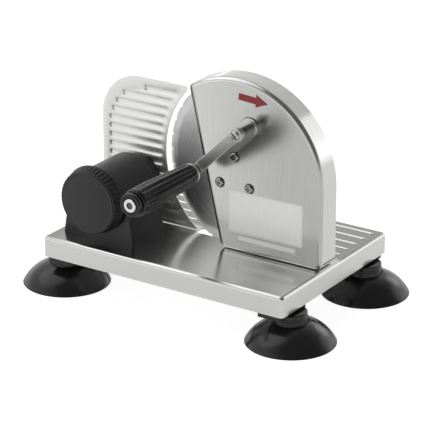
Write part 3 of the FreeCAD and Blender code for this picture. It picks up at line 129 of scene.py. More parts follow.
class SLICER_PG_blade(bpy.types.PropertyGroup):
    lobes: number("Lobes", "Waves round the edge", 36, 3)
    notch: length("Notch depth", "Depth of the gaps between the waves", 1.3 * MM)
    bulge: length("Bulge", "Rise of each wave between two gaps", 0.35 * MM)
    bevel: length("Bevel", "Width of the ground band at the edge", 7.6 * MM)
    swing: length("Swing", "How far the band's inner line follows the waves", 0.7 * MM)
    steps: number("Steps", "Faces along each wave", 14, 6)


class SLICER_PG_grip(bpy.types.PropertyGroup):
    flutes: number("Flutes", "Hollow channels round the grip", 12, 3)
    depth: length("Flute depth", "How far a flute cuts in", 0.75 * MM)


class SLICER_PG_knob(bpy.types.PropertyGroup):
    ribs: number("Ribs", "Finger ribs round the rim", 45, 12)
    depth: length("Rib depth", "How far the gaps between the ribs cut in", 0.8 * MM)
    ring: length("Rear ring", "Width of the smooth ring behind the ribs", 1.2 * MM)


class SLICER_PG_plate(bpy.types.PropertyGroup):
    sheet: length("Sheet", "Thickness of the sheet", 1.0 * MM)
    channels: number("Channels", "Pressed channels", 15, 1)
    pitch: length("Pitch", "Distance from one channel to the next", 8.4 * MM)
    half: length("Half width", "Half the width of a channel at its mouth", 3.0 * MM)
    floor: length("Floor", "Half the width of a channel's floor", 1.5 * MM)
    depth: length("Depth", "Depth of a channel", 1.5 * MM)


class SLICER_PG_colours(bpy.types.PropertyGroup):
    steel: colour("Steel", "Brushed stainless steel", "#DEDEDC")
    # A painted highlight on the tops of the food ribs
    crest: colour("Painted rib highlight", "Tops of the food ribs", "#FCFCFB")
    plate: colour("Plate steel", "Satin steel of the gauge plate", "#F8F8F6")
    blade: colour("Blade steel", "Polished blade steel", "#EEEEEE")
    arm: colour("Arm steel", "Satin steel of the crank arm", "#D6D6D4")
    shaft: colour("Shaft steel", "Ground steel of the crank shaft", "#767674")
    nickel: colour("Nickel", "Screws on the housing's face", "#A2A3A4")
    bright: colour("Bright nickel", "Screw in the grip's end", "#F4F4F4")
    zinc: colour("Zinc", "Zinc plated screws", "#CCCDCE")
    aluminium: colour("Aluminium", "Ferrule of the grip", "#F0F0F0")
    plastic: colour("Black plastic", "Moulded housing of the adjuster", "#2A2A2B")
    grip: colour("Grip", "Glossy black grip", "#131313")
    rubber: colour("Rubber", "Suction cups", "#242424")
    nylon: colour("Nylon", "Gears and cam", "#E6E3D8")
    bronze: colour("Bronze", "Sintered bushes", "#A5814C")
    film: colour("Silver film", "Blank rating labels", "#FBFBFA")
    rating_label: colour("Rating border", "Edge of the rating label", "#F0F0EF")
    strip_label: colour("Strip border", "Edge of the strip under it", "#D4D4D3")
    white: colour("White film", "Blank rim label", "#F8F8F6")
    red: colour("Red film", "Direction arrow", "#A5282C")


class SLICER_PG_studio(bpy.types.PropertyGroup):
    key: FloatProperty(name="Key", description="Strength of the large soft lamp", default=8.0, min=0.0)
    fill: FloatProperty(name="Fill", description="Strength of the lamps behind", default=4.0, min=0.0)
    sky: FloatProperty(name="Sky", description="Strength of the white surroundings", default=0.85, min=0.0)
    dim: FloatProperty(name="Dim side", description="Share of that light from above on the right",
                       default=0.2, min=0.0, max=1.0)


class SLICER_PG_settings(bpy.types.PropertyGroup):
    cups: PointerProperty(type=SLICER_PG_cups)
    blade: PointerProperty(type=SLICER_PG_blade)
    grip: PointerProperty(type=SLICER_PG_grip)
    knob: PointerProperty(type=SLICER_PG_knob)
    plate: PointerProperty(type=SLICER_PG_plate)
    colours: PointerProperty(type=SLICER_PG_colours)
    studio: PointerProperty(type=SLICER_PG_studio)


# Parts of the materials

def add(tree, kind, inputs=(), output=None, **settings):
    """Adds a node with its settings. Its inputs are values or other nodes' outputs: a dict names them,
    and a list takes those in use in their order. Returns the named output, or the first in use."""
    made = tree.nodes.new("ShaderNode" + kind)
    for name, value in settings.items():
        setattr(made, name, value)
    used = [socket for socket in made.inputs if socket.enabled]
    if isinstance(inputs, dict):
        used = [made.inputs[name] for name in inputs]
        inputs = inputs.values()
    for socket, value in zip(used, inputs):
        if isinstance(value, bpy.types.NodeSocket):
            tree.links.new(value, socket)
        else:
            socket.default_value = value
    if output:
        return made.outputs[output]
    return next((socket for socket in made.outputs if socket.enabled), None)


def new_material(name, base, roughness, metallic=0.0, **values):
    """A material with a Principled shader. Returns the material, its node tree and the shader."""
    material = bpy.data.materials.new(name)
    material.use_nodes = True
    shader = material.node_tree.nodes["Principled BSDF"]
    constants = {"Base_Color": base, "Roughness": roughness, "Metallic": metallic, **values}
    for key, value in constants.items():
        shader.inputs[key.replace("_", " ")].default_value = value
    return material, material.node_tree, shader


def surface(shader, tint, gloss, height, depth, strength=1.0):
    """Leads to a shader its colour, its roughness where that varies, and a relief whose depth is in
    millimetres. strength is the share of the relief that shows."""
    tree = shader.id_data
    relief = add(tree, "Bump", {"Height": height, "Distance": depth * MM, "Strength": strength})
    tree.links.new(relief, shader.inputs["Normal"])
    tree.links.new(tint, shader.inputs["Base Color"])
    if gloss:
        tree.links.new(gloss, shader.inputs["Roughness"])


def stretched(tree, x, y, z):
    """The place on a piece, in units that are x, y and z millimetres long."""
    place = add(tree, "TexCoord", output="Object")
    return add(tree, "Mapping", {"Vector": place, "Scale": [1 / (v * MM) for v in (x, y, z)]})


def from_point(tree, point):
    """The way from a point of the frame to the place on a piece, in metres."""
    place = add(tree, "TexCoord", output="Object")
    return add(tree, "VectorMath", [place, list(point)], operation="SUBTRACT")


def polar(tree, point):
    """Radius, angle in radians and depth of a place, about a line along Y through a point."""
    x, y, z = add(tree, "SeparateXYZ", [from_point(tree, point)]).node.outputs
    radius = add(tree, "VectorMath", [add(tree, "CombineXYZ", {"X": x, "Z": z})], operation="LENGTH")
    return radius, add(tree, "Math", [z, x], operation="ARCTAN2"), y


def counted(tree, *measures):
    """Coordinates made of up to three measures, each given with the size of its unit."""
    parts = [add(tree, "Math", [measure, 1 / unit], operation="MULTIPLY") for measure, unit in measures]
    return add(tree, "CombineXYZ", parts)


def facing(tree, axis, low=0.6, high=0.8):
    """1 where the surface faces along an axis of its own piece, and 0 elsewhere."""
    normal = add(tree, "SeparateXYZ", [add(tree, "TexCoord", output="Normal")], axis)
    return add(tree, "MapRange", [add(tree, "Math", [normal], operation="ABSOLUTE"), low, high, 0.0, 1.0])


def tinted(tree, pattern, base, dark, bright, low=0.3, high=0.7):
    """The base colour, from darker to brighter by two factors as a pattern goes from low to high."""
    share = add(tree, "MapRange", [pattern, low, high, 0.0, 1.0])
    shades = [[min(1.0, c * factor) for c in base[:3]] + [1.0] for factor in (dark, bright)]
    return add(tree, "Mix", [share, *shades], data_type="RGBA")


def painted_shade_tint(tree, unshaded, base, tint):
    """The tint where the mask is 1, and steel darkened by painted shade where it is 0."""
    share = 0.16
    dark = [share * c for c in base[:3]] + [1.0]
    return add(tree, "Mix", [unshaded(tree), dark, tint], data_type="RGBA")


# Materials

def brushed(name, base, grain, roughness, colour_depth, relief, unshaded=None, crest=None):
    """Stainless steel brushed with an abrasive belt. Fine lines along the grain catch the light, and
    larger soft stains from handling change its gloss. The belt's own lines are too fine to show, so
    they are drawn wider and in groups. The mask passed for painted shade darkens the steel where it
    falls to 0. crest is a pattern of the rib tops, and the colour of a painted highlight there."""
    line, group, stain = (0.16, 26.0), (1.3, 50.0), 38.0
    material, tree, shader = new_material(name, base, roughness, 1.0)
    lines, groups = [add(tree, "TexNoise", {"Vector": grain(tree, *marks), "Scale": 1.0, "Detail": 3.0,
                                            "Roughness": 0.6}) for marks in (line, group)]
    stains = add(tree, "TexNoise", {"Vector": stretched(tree, stain, stain, stain), "Scale": 1.0})
    both = add(tree, "Mix", [0.5, lines, groups], data_type="FLOAT")
    tint = tinted(tree, both, base, 1.0 - colour_depth, 1.0 + colour_depth, 0.4, 0.6)
    if unshaded:
        # Painted shade where the mask falls to 0
        tint = painted_shade_tint(tree, unshaded, base, tint)
    if crest:
        # Painted highlight on the rib tops
        where, bright = crest
        tint = add(tree, "Mix", [where(tree), tint, bright], data_type="RGBA")
    grained = add(tree, "MapRange", [both, 0.35, 0.65, roughness - 0.02, roughness + 0.02])
    handled = add(tree, "MapRange", [stains, 0.3, 0.7, -0.01, 0.015])
    gloss = add(tree, "Math", [grained, handled], operation="ADD")
    surface(shader, tint, gloss, lines, relief)
    return material


def plate_grain(tree, across, along):
    """Along the gauge plate."""
    return stretched(tree, along, across, across)


def tray_grain(tree, across, along):
    """Along the tray on its top and long skirts, and across it on the short ones."""
    return add(tree, "Mix", [facing(tree, "X"), stretched(tree, along, across, across),
                             stretched(tree, across, along, across)], data_type="VECTOR")


def housing_grain(tree, across, along):
    """Upright on the flat face, and round the rim on its side."""
    _, angle, depth = polar(tree, BLADE_AXIS)
    rim = counted(tree, (angle, along * MM / HOUSING_RADIUS), (depth, across * MM))
    return add(tree, "Mix", [facing(tree, "Y"), rim, stretched(tree, across, across, along)],
               data_type="VECTOR")


def rib_highlight_mask(tree):
    """1 on the raised food ribs, which get a painted highlight, and 0 on the rest of the tray."""
    height = add(tree, "SeparateXYZ", [from_point(tree, TRAY_MIDDLE)], "Z")
    return add(tree, "MapRange", [height, 0.02 * MM, 0.2 * MM, 0.0, 1.0])


def tray_painted_shade(tree):
    """1 on the skirts, and below 1 on the tray's top behind the blade and at its left end, which are
    darkened with painted shade."""
    dull = 0.42
    x, y, z = add(tree, "SeparateXYZ", [from_point(tree, TRAY_MIDDLE)]).node.outputs
    # Painted shade on the top behind the blade and at the left end
    behind = add(tree, "MapRange", [y, 6 * MM, 12 * MM, 1.0, dull])
    left = add(tree, "MapRange", [x, -116 * MM, -80 * MM, dull, 1.0])
    skirt = add(tree, "MapRange", [z, -1.2 * MM, -0.4 * MM, 1.0, 0.0])
    top = add(tree, "Math", [behind, left], operation="MINIMUM")
    return add(tree, "Math", [skirt, top], operation="MAXIMUM")


def housing_painted_shade(tree):
    """0 on the dark fold of the leaning edge and on a thin line round each part that stands on the face, a
    little below 1 towards the right of the face, and 1 elsewhere. All of this is painted shade: along the
    fold, as contact shadows round the collar and the screw heads, and over the right of the face."""
    away = from_point(tree, BLADE_AXIS)
    lean = [math.cos(HOUSING_LEAN), 0.0, math.sin(HOUSING_LEAN)]
    inside = add(tree, "VectorMath", [away, lean], operation="DOT_PRODUCT")
    # Painted shade along the fold of the leaning edge
    fold = add(tree, "MapRange", [inside, 3.4 * MM - HOUSING_EDGE, 5.2 * MM - HOUSING_EDGE, 0.0, 1.0])
    across = add(tree, "SeparateXYZ", [away], "X")
    # Painted shade, darker towards the right of the face
    dull = add(tree, "MapRange", [across, -31 * MM, 44 * MM, 1.0, 0.74])
    face = add(tree, "Math", [fold, dull], operation="MINIMUM")
    side = add(tree, "Math", [1.0, facing(tree, "Y", 0.4, 0.6)], operation="SUBTRACT")
    lit_share = add(tree, "Math", [face, side], operation="MAXIMUM")
    # Painted contact shadows round the collar and the screw heads
    collar, head = 9.0 * MM, 4.3 * MM
    heads = [(place, head) for place in three_round(BLADE_AXIS, AXLE_SCREW_CIRCLE)]
    for point, edge in [(CRANK_AXIS, collar), *heads]:
        ring = add(tree, "MapRange", [polar(tree, point)[0], edge + 0.3 * MM, edge + 1.1 * MM, 0.0, 1.0])
        lit_share = add(tree, "Math", [lit_share, ring], operation="MINIMUM")
    return lit_share


def turned(name, base, axis_point, roughness, pitch=0.4):
    """Metal turned on a lathe: fine rings about its axis, which draw a highlight out across them. The
    pitch is coarser than a real tool's, so that the rings show."""
    material, tree, shader = new_material(name, base, roughness, 1.0)
    radius, _, depth = polar(tree, axis_point)
    line = add(tree, "Math", [radius, depth], operation="ADD")
    rings = add(tree, "TexNoise", {"Vector": counted(tree, (line, pitch * MM)), "Scale": 1.0,
                                   "Detail": 3.0})
    gloss = add(tree, "MapRange", [rings, 0.3, 0.7, roughness - 0.06, roughness + 0.08])
    surface(shader, tinted(tree, rings, base, 0.9, 1.06), gloss, rings, 0.004)
    return material


def plated(name, base, roughness, unshaded=None):
    """Small metal parts, most of them plated, slightly uneven where they rubbed together in a barrel.
    Where the mask passed for painted shade falls to 0 they are dark."""
    spot = 1.3
    material, tree, shader = new_material(name, base, roughness, 1.0)
    rub = add(tree, "TexNoise", {"Vector": stretched(tree, spot, spot, spot), "Scale": 1.0,
                                 "Detail": 4.0, "Roughness": 0.6})
    gloss = add(tree, "MapRange", [rub, 0.3, 0.7, roughness - 0.04, roughness + 0.1])
    tint = tinted(tree, rub, base, 0.88, 1.06)
    if unshaded:
        # Painted shade where the mask falls to 0
        tint = painted_shade_tint(tree, unshaded, base, tint)
    surface(shader, tint, gloss, rub, 0.02, 0.4)
    return material


def moulded(name, base, roughness, grain=0.5, depth=0.02, **values):
    """Injection moulded plastic or rubber: an even colour with the tool's fine grain, and a few dull
    patches."""
    patch = 14.0
    material, tree, shader = new_material(name, base, roughness, **values)
    texture = add(tree, "TexVoronoi", {"Vector": stretched(tree, grain, grain, grain), "Scale": 1.0})
    dull = add(tree, "TexNoise", {"Vector": stretched(tree, patch, patch, patch), "Scale": 1.0,
                                  "Detail": 3.0, "Roughness": 0.6})
    gloss = add(tree, "MapRange", [dull, 0.3, 0.7, roughness - 0.05, roughness + 0.06])
    surface(shader, tinted(tree, dull, base, 0.9, 1.12), gloss, texture, depth, 0.5)
    return material


def film(name, base, roughness, metallic=0.0, node=None, border=None):
    """Printed plastic film with a thin clear coat, left blank. Where a node is given, the print stops
    short of its edge and leaves a border."""
    margin = 1.6 * MM
    material, tree, shader = new_material(name, base, roughness, metallic, Coat_Weight=0.3,
                                          Coat_Roughness=0.2)
    fine = add(tree, "TexNoise", {"Vector": stretched(tree, 0.5, 0.5, 9.0), "Scale": 1.0, "Detail": 3.0})
    tint = tinted(tree, fine, base, 0.95, 1.03)
    if node:
        away = add(tree, "VectorMath", [from_point(tree, centre(node))], operation="ABSOLUTE")
        x, _, z = add(tree, "SeparateXYZ", [away]).node.outputs
        half = size(node) / 2
        ends = add(tree, "Math", [x, half.x - margin], operation="GREATER_THAN")
        sides = add(tree, "Math", [z, half.z - margin], operation="GREATER_THAN")
        edge = add(tree, "Math", [ends, sides], operation="MAXIMUM")
        tint = add(tree, "Mix", [edge, tint, border], data_type="RGBA")
    surface(shader, tint, None, fine, 0.01, 0.3)
    return material


# Meshes

def arc(core, radius, first, last, steps):
    """Points of an arc from one angle to another."""
    angles = [first + (last - first) * k / steps for k in range(steps + 1)]
    return [(core[0] + radius * math.cos(a), core[1] + radius * math.sin(a)) for a in angles]


def bent(start, corner, end, steps):
    """Points of a soft bend from start to end, drawn towards a corner."""
    shares = [k / steps for k in range(steps + 1)]
    return [tuple(start * (1 - t) ** 2 + corner * 2 * t * (1 - t) + end * t ** 2) for t in shares]


def rounded(outline, radius, steps=3):
    """An open outline with each inner corner rounded, as far as its two sides allow."""
    most = 0.45
    out = [outline[0]]
    for before, corner, after in zip(outline, outline[1:], outline[2:]):
        here = Vector(corner)
        back, on = Vector(before) - here, Vector(after) - here
        reach = min(radius / math.tan(back.angle(on) / 2), most * back.length, most * on.length)
        out += bent(here + back.normalized() * reach, here, here + on.normalized() * reach, steps)
    return [*out, outline[-1]]


def turned_points(outline, steps, shape=None, closed=True):
    """Points and faces of an outline of (radius, along) turned about an axis. shape may move a point by
    its place in the outline and its angle."""
    points, rings, faces = [], [], []
    for index, (radius, along) in enumerate(outline):
        first = len(points)
        if radius < 1e-7:
            points.append((0.0, 0.0, along))
        else:
            for k in range(steps):
                angle = TURN * k / steps
                r, a = shape(index, angle, radius, along) if shape else (radius, along)
                points.append((r * math.cos(angle), r * math.sin(angle), a))
        rings.append(range(first, len(points)))
    pairs = list(zip(rings, rings[1:])) + ([(rings[-1], rings[0])] if closed else [])
    for near, far in pairs:
        for k in range(steps):
            n = (k + 1) % steps
            corners = [ring[i % len(ring)] for ring, i in ((near, k), (near, n), (far, n), (far, k))]
            faces.append(tuple(dict.fromkeys(corners)))
    return points, faces


def axis_y(points, origin):
    """Turns points made about Z so that they lie about a line along Y."""
    return [(origin.x + x, along, origin.z + y) for x, y, along in points]


def axis_z(points, origin):
    return [(origin.x + x, origin.y + y, along) for x, y, along in points]


def piece(name, points, faces, material, body, node, sharp=38):
    """A detailed piece that rides on a body and stands for a node of the frame. It looks smooth up to
    an edge of as many degrees as sharp says."""
    mesh = bpy.data.meshes.new(name)
    mesh.from_pydata(points, [], faces)
    mesh.validate()
    work = bmesh.new()
    work.from_mesh(mesh)
    bmesh.ops.remove_doubles(work, verts=work.verts, dist=1e-7)
    bmesh.ops.recalc_face_normals(work, faces=work.faces)
    work.to_mesh(mesh)
    work.free()
    mesh.shade_smooth()
    mesh.set_sharp_from_angle(angle=math.radians(sharp))
    mesh.materials.append(material)
    made = bpy.data.objects.new(name, mesh)
    bpy.context.scene.collection.objects.link(made)
    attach(made, body)
    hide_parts(node)


def finish_nodes(material, *nodes):
    """Gives nodes of the frame a finish, and leaves their shape as it is."""
    for name in nodes:
        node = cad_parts[name]
        node.data.materials.clear()
        node.data.materials.append(material)


# Tray and feet

class SLICER_OT_tray(bpy.types.Operator):
    """Brushed finish of the tray, and the black blocks and bright fasteners under it"""
    bl_idname = "slicer.tray"
    bl_label = "Tray"

    def execute(self, context):
        colours = context.scene.slicer.colours
        # Long fine lines, which smear each reflection along the tray
        # Painted shade on the top behind the blade and at the left end, and a painted highlight on the food
        # ribs
        steel = brushed("Stainless steel, belt brushed along the tray", colours.steel[:], tray_grain, 0.19,
                        colour_depth=0.022, relief=0.0008, unshaded=tray_painted_shade,
                        crest=(rib_highlight_mask, colours.crest[:]))
        finish_nodes(steel, "base_tray")
        # Even dull black
        finish_nodes(moulded("Polypropylene, moulded black", colours.plastic[:], 0.5),
                     *[f"foot_block_{corner}" for corner in CORNERS])
        # Pale metal with small dull spots
        finish_nodes(plated("Steel, zinc plated, under the tray", colours.zinc[:], 0.3),
                     "cup_studs", "cup_nuts", "block_nuts")
        return {"FINISHED"}


class SLICER_OT_cups(bpy.types.Operator):
    """Four suction cups with a thin rim, a shallow dome and a short neck"""
    bl_idname = "slicer.cups"
    bl_label = "Suction cups"

    def execute(self, context):
        settings = context.scene.slicer
        # Deep black with a soft highlight on each dome
        rubber = moulded("Rubber, moulded glossy black", settings.colours.rubber[:], 0.22, grain=0.35,
                         depth=0.002)
        for corner in CORNERS:
            node = f"suction_cup_{corner}"
            outline = self.outline(settings.cups, size(node).x / 2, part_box(node)[1].z)
            points, faces = turned_points(outline, settings.cups.steps)
            piece(f"cup_{corner}", axis_z(points, centre(node)), faces, rubber, "base", node)
        return {"FINISHED"}

    def outline(self, cups, rim, top):
        """Radius and height from the rim over the dome, up the neck and back through the hollow."""
        shoulder = (20.9 * MM, 17.1 * MM)
        stud, hollow, roof = 2.1 * MM, 9.0 * MM, 13.2 * MM
        chord = Vector(shoulder) - Vector((rim, 0.0))
        away = Vector((-chord.y, chord.x)).normalized()
        core = Vector((rim, 0.0)) + chord / 2 + away * math.sqrt(cups.dome ** 2 - chord.length ** 2 / 4)
        first = math.atan2(-core.y, rim - core.x)
        last = math.atan2(shoulder[1] - core.y, shoulder[0] - core.x)
        neck = [(17.6, 18.5), (15.6, 18.9), (15.3, 18.2), (14.7, 18.2), (14.4, 19.4), (14.2, 22.6),
                (14.5, 23.0), (14.5, 24.4), (14.2, 24.8), (14.2, top / MM - 0.6), (13.6, top / MM)]
        neck = [(radius * MM, z * MM) for radius, z in neck] + [(stud, top)]
        inner = cups.dome - cups.wall
        crown = math.asin((roof - 0.2 * MM - core.y) / inner)
        foot = math.asin((0.05 * MM - core.y) / inner)
        outside = arc(core, cups.dome, first, last, 14) + rounded(neck, 0.4 * MM)
        return outside + [(stud, roof), (hollow, roof)] + arc(core, inner, crown, foot, 12)


# Housing

class SLICER_OT_housing(bpy.types.Operator):
    """Brushed finish of the housing and its cover, and its screws"""
    bl_idname = "slicer.housing"
    bl_label = "Housing"

    def execute(self, context):
        colours = context.scene.slicer.colours
        # Upright lines, which draw reflections out into tall soft bands
        # Painted shade along the leaning fold, round the collar and screw heads, and over the right of the
        # face
        steel = brushed("Stainless steel, belt brushed upright", colours.steel[:], housing_grain, 0.19,
                        colour_depth=0.06, relief=0.0012, unshaded=housing_painted_shade)
        finish_nodes(steel, "housing_shell", "housing_cover")
        # Pale metal with small dull spots
        finish_nodes(plated("Steel, zinc plated, in the housing", colours.zinc[:], 0.22),
                     "cover_screws", "housing_screws")
        # Darker and smoother, with a small hard highlight on each head
        finish_nodes(plated("Steel, nickel plated, axle screws", colours.nickel[:], 0.08), "axle_screws")
        return {"FINISHED"}


class SLICER_OT_drive(bpy.types.Operator):
    """Axles, bushes and gears behind the housing's face"""
    bl_idname = "slicer.drive"
    bl_label = "Drive"

    def execute(self, context):
        colours = context.scene.slicer.colours
        # Pale metal with fine rings
        finish_nodes(turned("Steel, turned, blade axle", colours.zinc[:], BLADE_AXIS, 0.25),
                     "blade_axle", "hub_washer")
        # Darker than the parts round it, with fine rings
        finish_nodes(turned("Steel, ground, crank shaft", colours.shaft[:], CRANK_AXIS, 0.25),
                     "crank_shaft", "shaft_clip", "bush_nut")
        # Bright, with rings wide enough to see
        finish_nodes(turned("Steel, turned, collar", colours.steel[:], CRANK_AXIS, 0.2, 0.6),
                     "front_bush")
        # Warm and dull
        finish_nodes(plated("Bronze, sintered", colours.bronze[:], 0.5), "blade_bush", "rear_bush")
        # Warm white that light enters a little
        finish_nodes(moulded("Nylon, moulded natural", colours.nylon[:], 0.45, Subsurface_Weight=0.1),
                     "blade_gear", "crank_gear")
        # Pale metal with small dull spots
        finish_nodes(plated("Steel, zinc plated, hub screws", colours.zinc[:], 0.22),
                     "hub_screw", "blade_screws")
        return {"FINISHED"}


# Blade

class SLICER_OT_blade(bpy.types.Operator):
    """Wavy edged blade with a hollow ground bevel under each wave, and its cap"""
    bl_idname = "slicer.blade"
    bl_label = "Blade"

    def execute(self, context):
        settings = context.scene.slicer
        wave = settings.blade
        low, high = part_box("blade")
        rim, front, rear = (high.x - low.x) / 2, low.y, high.y
        inner = rim - wave.bevel
        bore = 10.05 * MM
        rows = [(bore, front), (60 * MM, front), (inner - 1.0 * MM, front), (inner, front),
                (inner + 2.5 * MM, front + 0.2 * MM), (inner + 5.2 * MM, front + 0.5 * MM),
                (rim, front + 0.88 * MM), (rim, rear), (inner, rear), (bore, rear)]
        band, edge = (3, 4, 5), (6, 7)

        def shape(index, angle, radius, along):
            if index in band:
                return radius - wave.swing * math.cos(angle * wave.lobes), along
            if index in edge:
                return radius - self.cut(wave, angle), along
            return radius, along

        points, faces = turned_points(rows, wave.lobes * wave.steps, shape)
        piece("wavy_blade", axis_y(points, BLADE_AXIS), faces, self.steel(settings.colours.blade[:], inner),
              "blade_unit", "blade", sharp=20)
        # Even black with a soft sheen
        finish_nodes(moulded("Polypropylene, moulded black, blade cap", settings.colours.plastic[:], 0.42),
                     "blade_cap")
        return {"FINISHED"}

    def cut(self, wave, angle):
        """How far the edge lies inside the full circle: a shallow wave with a sharp notch."""
        notch_share = 0.075
        phase = (angle * wave.lobes / TURN) % 1.0
        away = min(phase, 1 - phase)
        bulge = wave.bulge * (1 - math.sin(math.pi * phase))
        notch = wave.notch * max(0.0, 1 - (away / notch_share) ** 2)
        return min(bulge + notch, wave.notch + wave.bulge)

    def steel(self, base, inner):
        """Polished steel. Fine rings on the face spread the light into a bright fan, and short grinding
        marks cross the bevel. Both are coarser than real ones, so that they show."""
        material, tree, shader = new_material("Stainless steel, polished blade", base, 0.36, 1.0,
                                              Anisotropic=0.8)
        radius, angle, _ = polar(tree, BLADE_AXIS)
        ring_width, ring_angle = 0.35 * MM, 1 / 0.6
        mark_length, mark_angle = 6.0 * MM, 1 / 260
        rings = add(tree, "TexNoise", {"Vector": counted(tree, (radius, ring_width), (angle, ring_angle)),
                                       "Scale": 1.0, "Detail": 3.0, "Roughness": 0.6})
        marks = add(tree, "TexNoise", {"Vector": counted(tree, (radius, mark_length), (angle, mark_angle)),
                                       "Scale": 1.0, "Roughness": 0.6})
        on_bevel = add(tree, "MapRange", [radius, inner - 0.3 * MM, inner + 0.3 * MM, 0.0, 1.0])
        pattern = add(tree, "Mix", [on_bevel, rings, marks], data_type="FLOAT")
        polish = add(tree, "MapRange", [pattern, 0.3, 0.7, 0.26, 0.36])
        ground = add(tree, "Math", [on_bevel, 0.08], operation="MULTIPLY")
        gloss = add(tree, "Math", [polish, ground], operation="ADD")
        tree.links.new(add(tree, "Tangent", direction_type="RADIAL", axis="Y"), shader.inputs["Tangent"])
        surface(shader, tinted(tree, pattern, base, 0.8, 1.1), gloss, pattern, 0.006)
        return material


# Crank

class SLICER_OT_crank(bpy.types.Operator):
    """Satin crank arm with its screw and spindle"""
    bl_idname = "slicer.crank"
    bl_label = "Crank arm"

    def execute(self, context):
        colours = context.scene.slicer.colours
        # Soft grey highlight along the arm
        finish_nodes(plated("Steel, nickel plated satin, crank arm", colours.arm[:], 0.3), "crank_arm")
        # Hard bright highlights
        finish_nodes(plated("Steel, nickel plated bright", colours.zinc[:], 0.12),
                     "arm_screw", "handle_spindle")
        self.end_screw(colours)
        return {"FINISHED"}

    def end_screw(self, colours):
        """The bright screw in the grip's end, with a hexagon socket."""
        low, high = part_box("handle_screw")
        rim, thread, head = 6.0 * MM, 1.95 * MM, low.y + 1.2 * MM
        outline = [(0.0, 0.8), (1.0, 0.85), (1.3, 1.15), (3.05, 1.1), (3.1, 0.25), (3.4, 0.0), (5.3, 0.0),
                   (5.7, 0.12), (5.95, 0.5), (6.0, 1.0)]
        rows = [(radius * MM, low.y + along * MM) for radius, along in outline]
        rows += [(rim, head), (thread, head), (thread, high.y), (0.0, high.y)]
        wall = (3, 4)
        side = TURN / 6

        def shape(index, angle, radius, along):
            if index not in wall:
                return radius, along
            return radius * math.cos(side / 2) / math.cos(angle % side - side / 2), along

        def socket(tree):
            """0 in the socket, which is darkened with painted shade."""
            return add(tree, "MapRange", [polar(tree, GRIP_AXIS)[0], 2.9 * MM, 3.3 * MM, 0.0, 1.0])

        # A bright ring round a socket darkened with painted shade
        steel = plated("Steel, nickel plated bright, end screw", colours.bright[:], 0.14, socket)
        points, faces = turned_points(rows, 96, shape, closed=False)
        piece("socket_screw", axis_y(points, GRIP_AXIS), faces, steel, "crank", "handle_screw",
              sharp=30)


class SLICER_OT_grip(bpy.types.Operator):
    """Fluted grip with its end cap and a bright ferrule"""
    bl_idname = "slicer.grip"
    bl_label = "Grip"

    def execute(self, context):
        settings = context.scene.slicer
        grip = settings.grip
        low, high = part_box("handle_grip")
        front, rear = low.y, high.y
        bore = 3.15 * MM
        rows = [(bore, front), (9.5 * MM, front), (10.6 * MM, front + 0.25 * MM),
                (11.4 * MM, front + 0.9 * MM), (11.8 * MM, front + 1.7 * MM)]
        first = len(rows)
        start = front + 2.2 * MM
        span = rear - 1.0 * MM - start
        count = 40
        for k in range(count + 1):
            t = k / count
            rows.append((self.barrel(t) * MM, start + span * t))
        last = len(rows)
        rows += [(9.0 * MM, rear), (bore, rear)]
        rise, fall, roundness = 0.05, 0.08, 0.6

        def shape(index, angle, radius, along):
            if not first <= index < last:
                return radius, along
            t = (index - first) / count
            fade = min(1.0, t / rise) * min(1.0, (1 - t) / fall)
            fade = fade * fade * (3 - 2 * fade)
            crest = 0.5 - 0.5 * math.cos(angle * grip.flutes)
            return radius - grip.depth * fade * (1 - crest ** roundness), along

        # Deep black with a sharp highlight along each flute
        plastic = moulded("Phenolic resin, moulded glossy black", settings.colours.grip[:], 0.2, grain=0.6,
                          depth=0.004)
        points, faces = turned_points(rows, grip.flutes * 16, shape)
        piece("fluted_grip", axis_y(points, GRIP_AXIS), faces, plastic, "grip",
              "handle_grip", sharp=50)
        finish_nodes(plastic, "handle_end_cap")
        # A bright band with fine rings
        finish_nodes(turned("Aluminium, turned bright, ferrule", settings.colours.aluminium[:], GRIP_AXIS,
                            0.24), "handle_ferrule")
        return {"FINISHED"}

    def barrel(self, t):
        """The grip's radius in millimetres from its outer end, 0, to its inner end, 1."""
        marks = [(0.0, 11.95), (0.22, 12.2), (0.36, 12.05), (0.5, 11.6), (0.75, 10.95), (0.9, 10.35),
                 (0.97, 10.0), (1.0, 9.7)]
        for (a, low), (b, high) in zip(marks, marks[1:]):
            if t <= b:
                return low + (high - low) * (t - a) / (b - a)


# Gauge plate

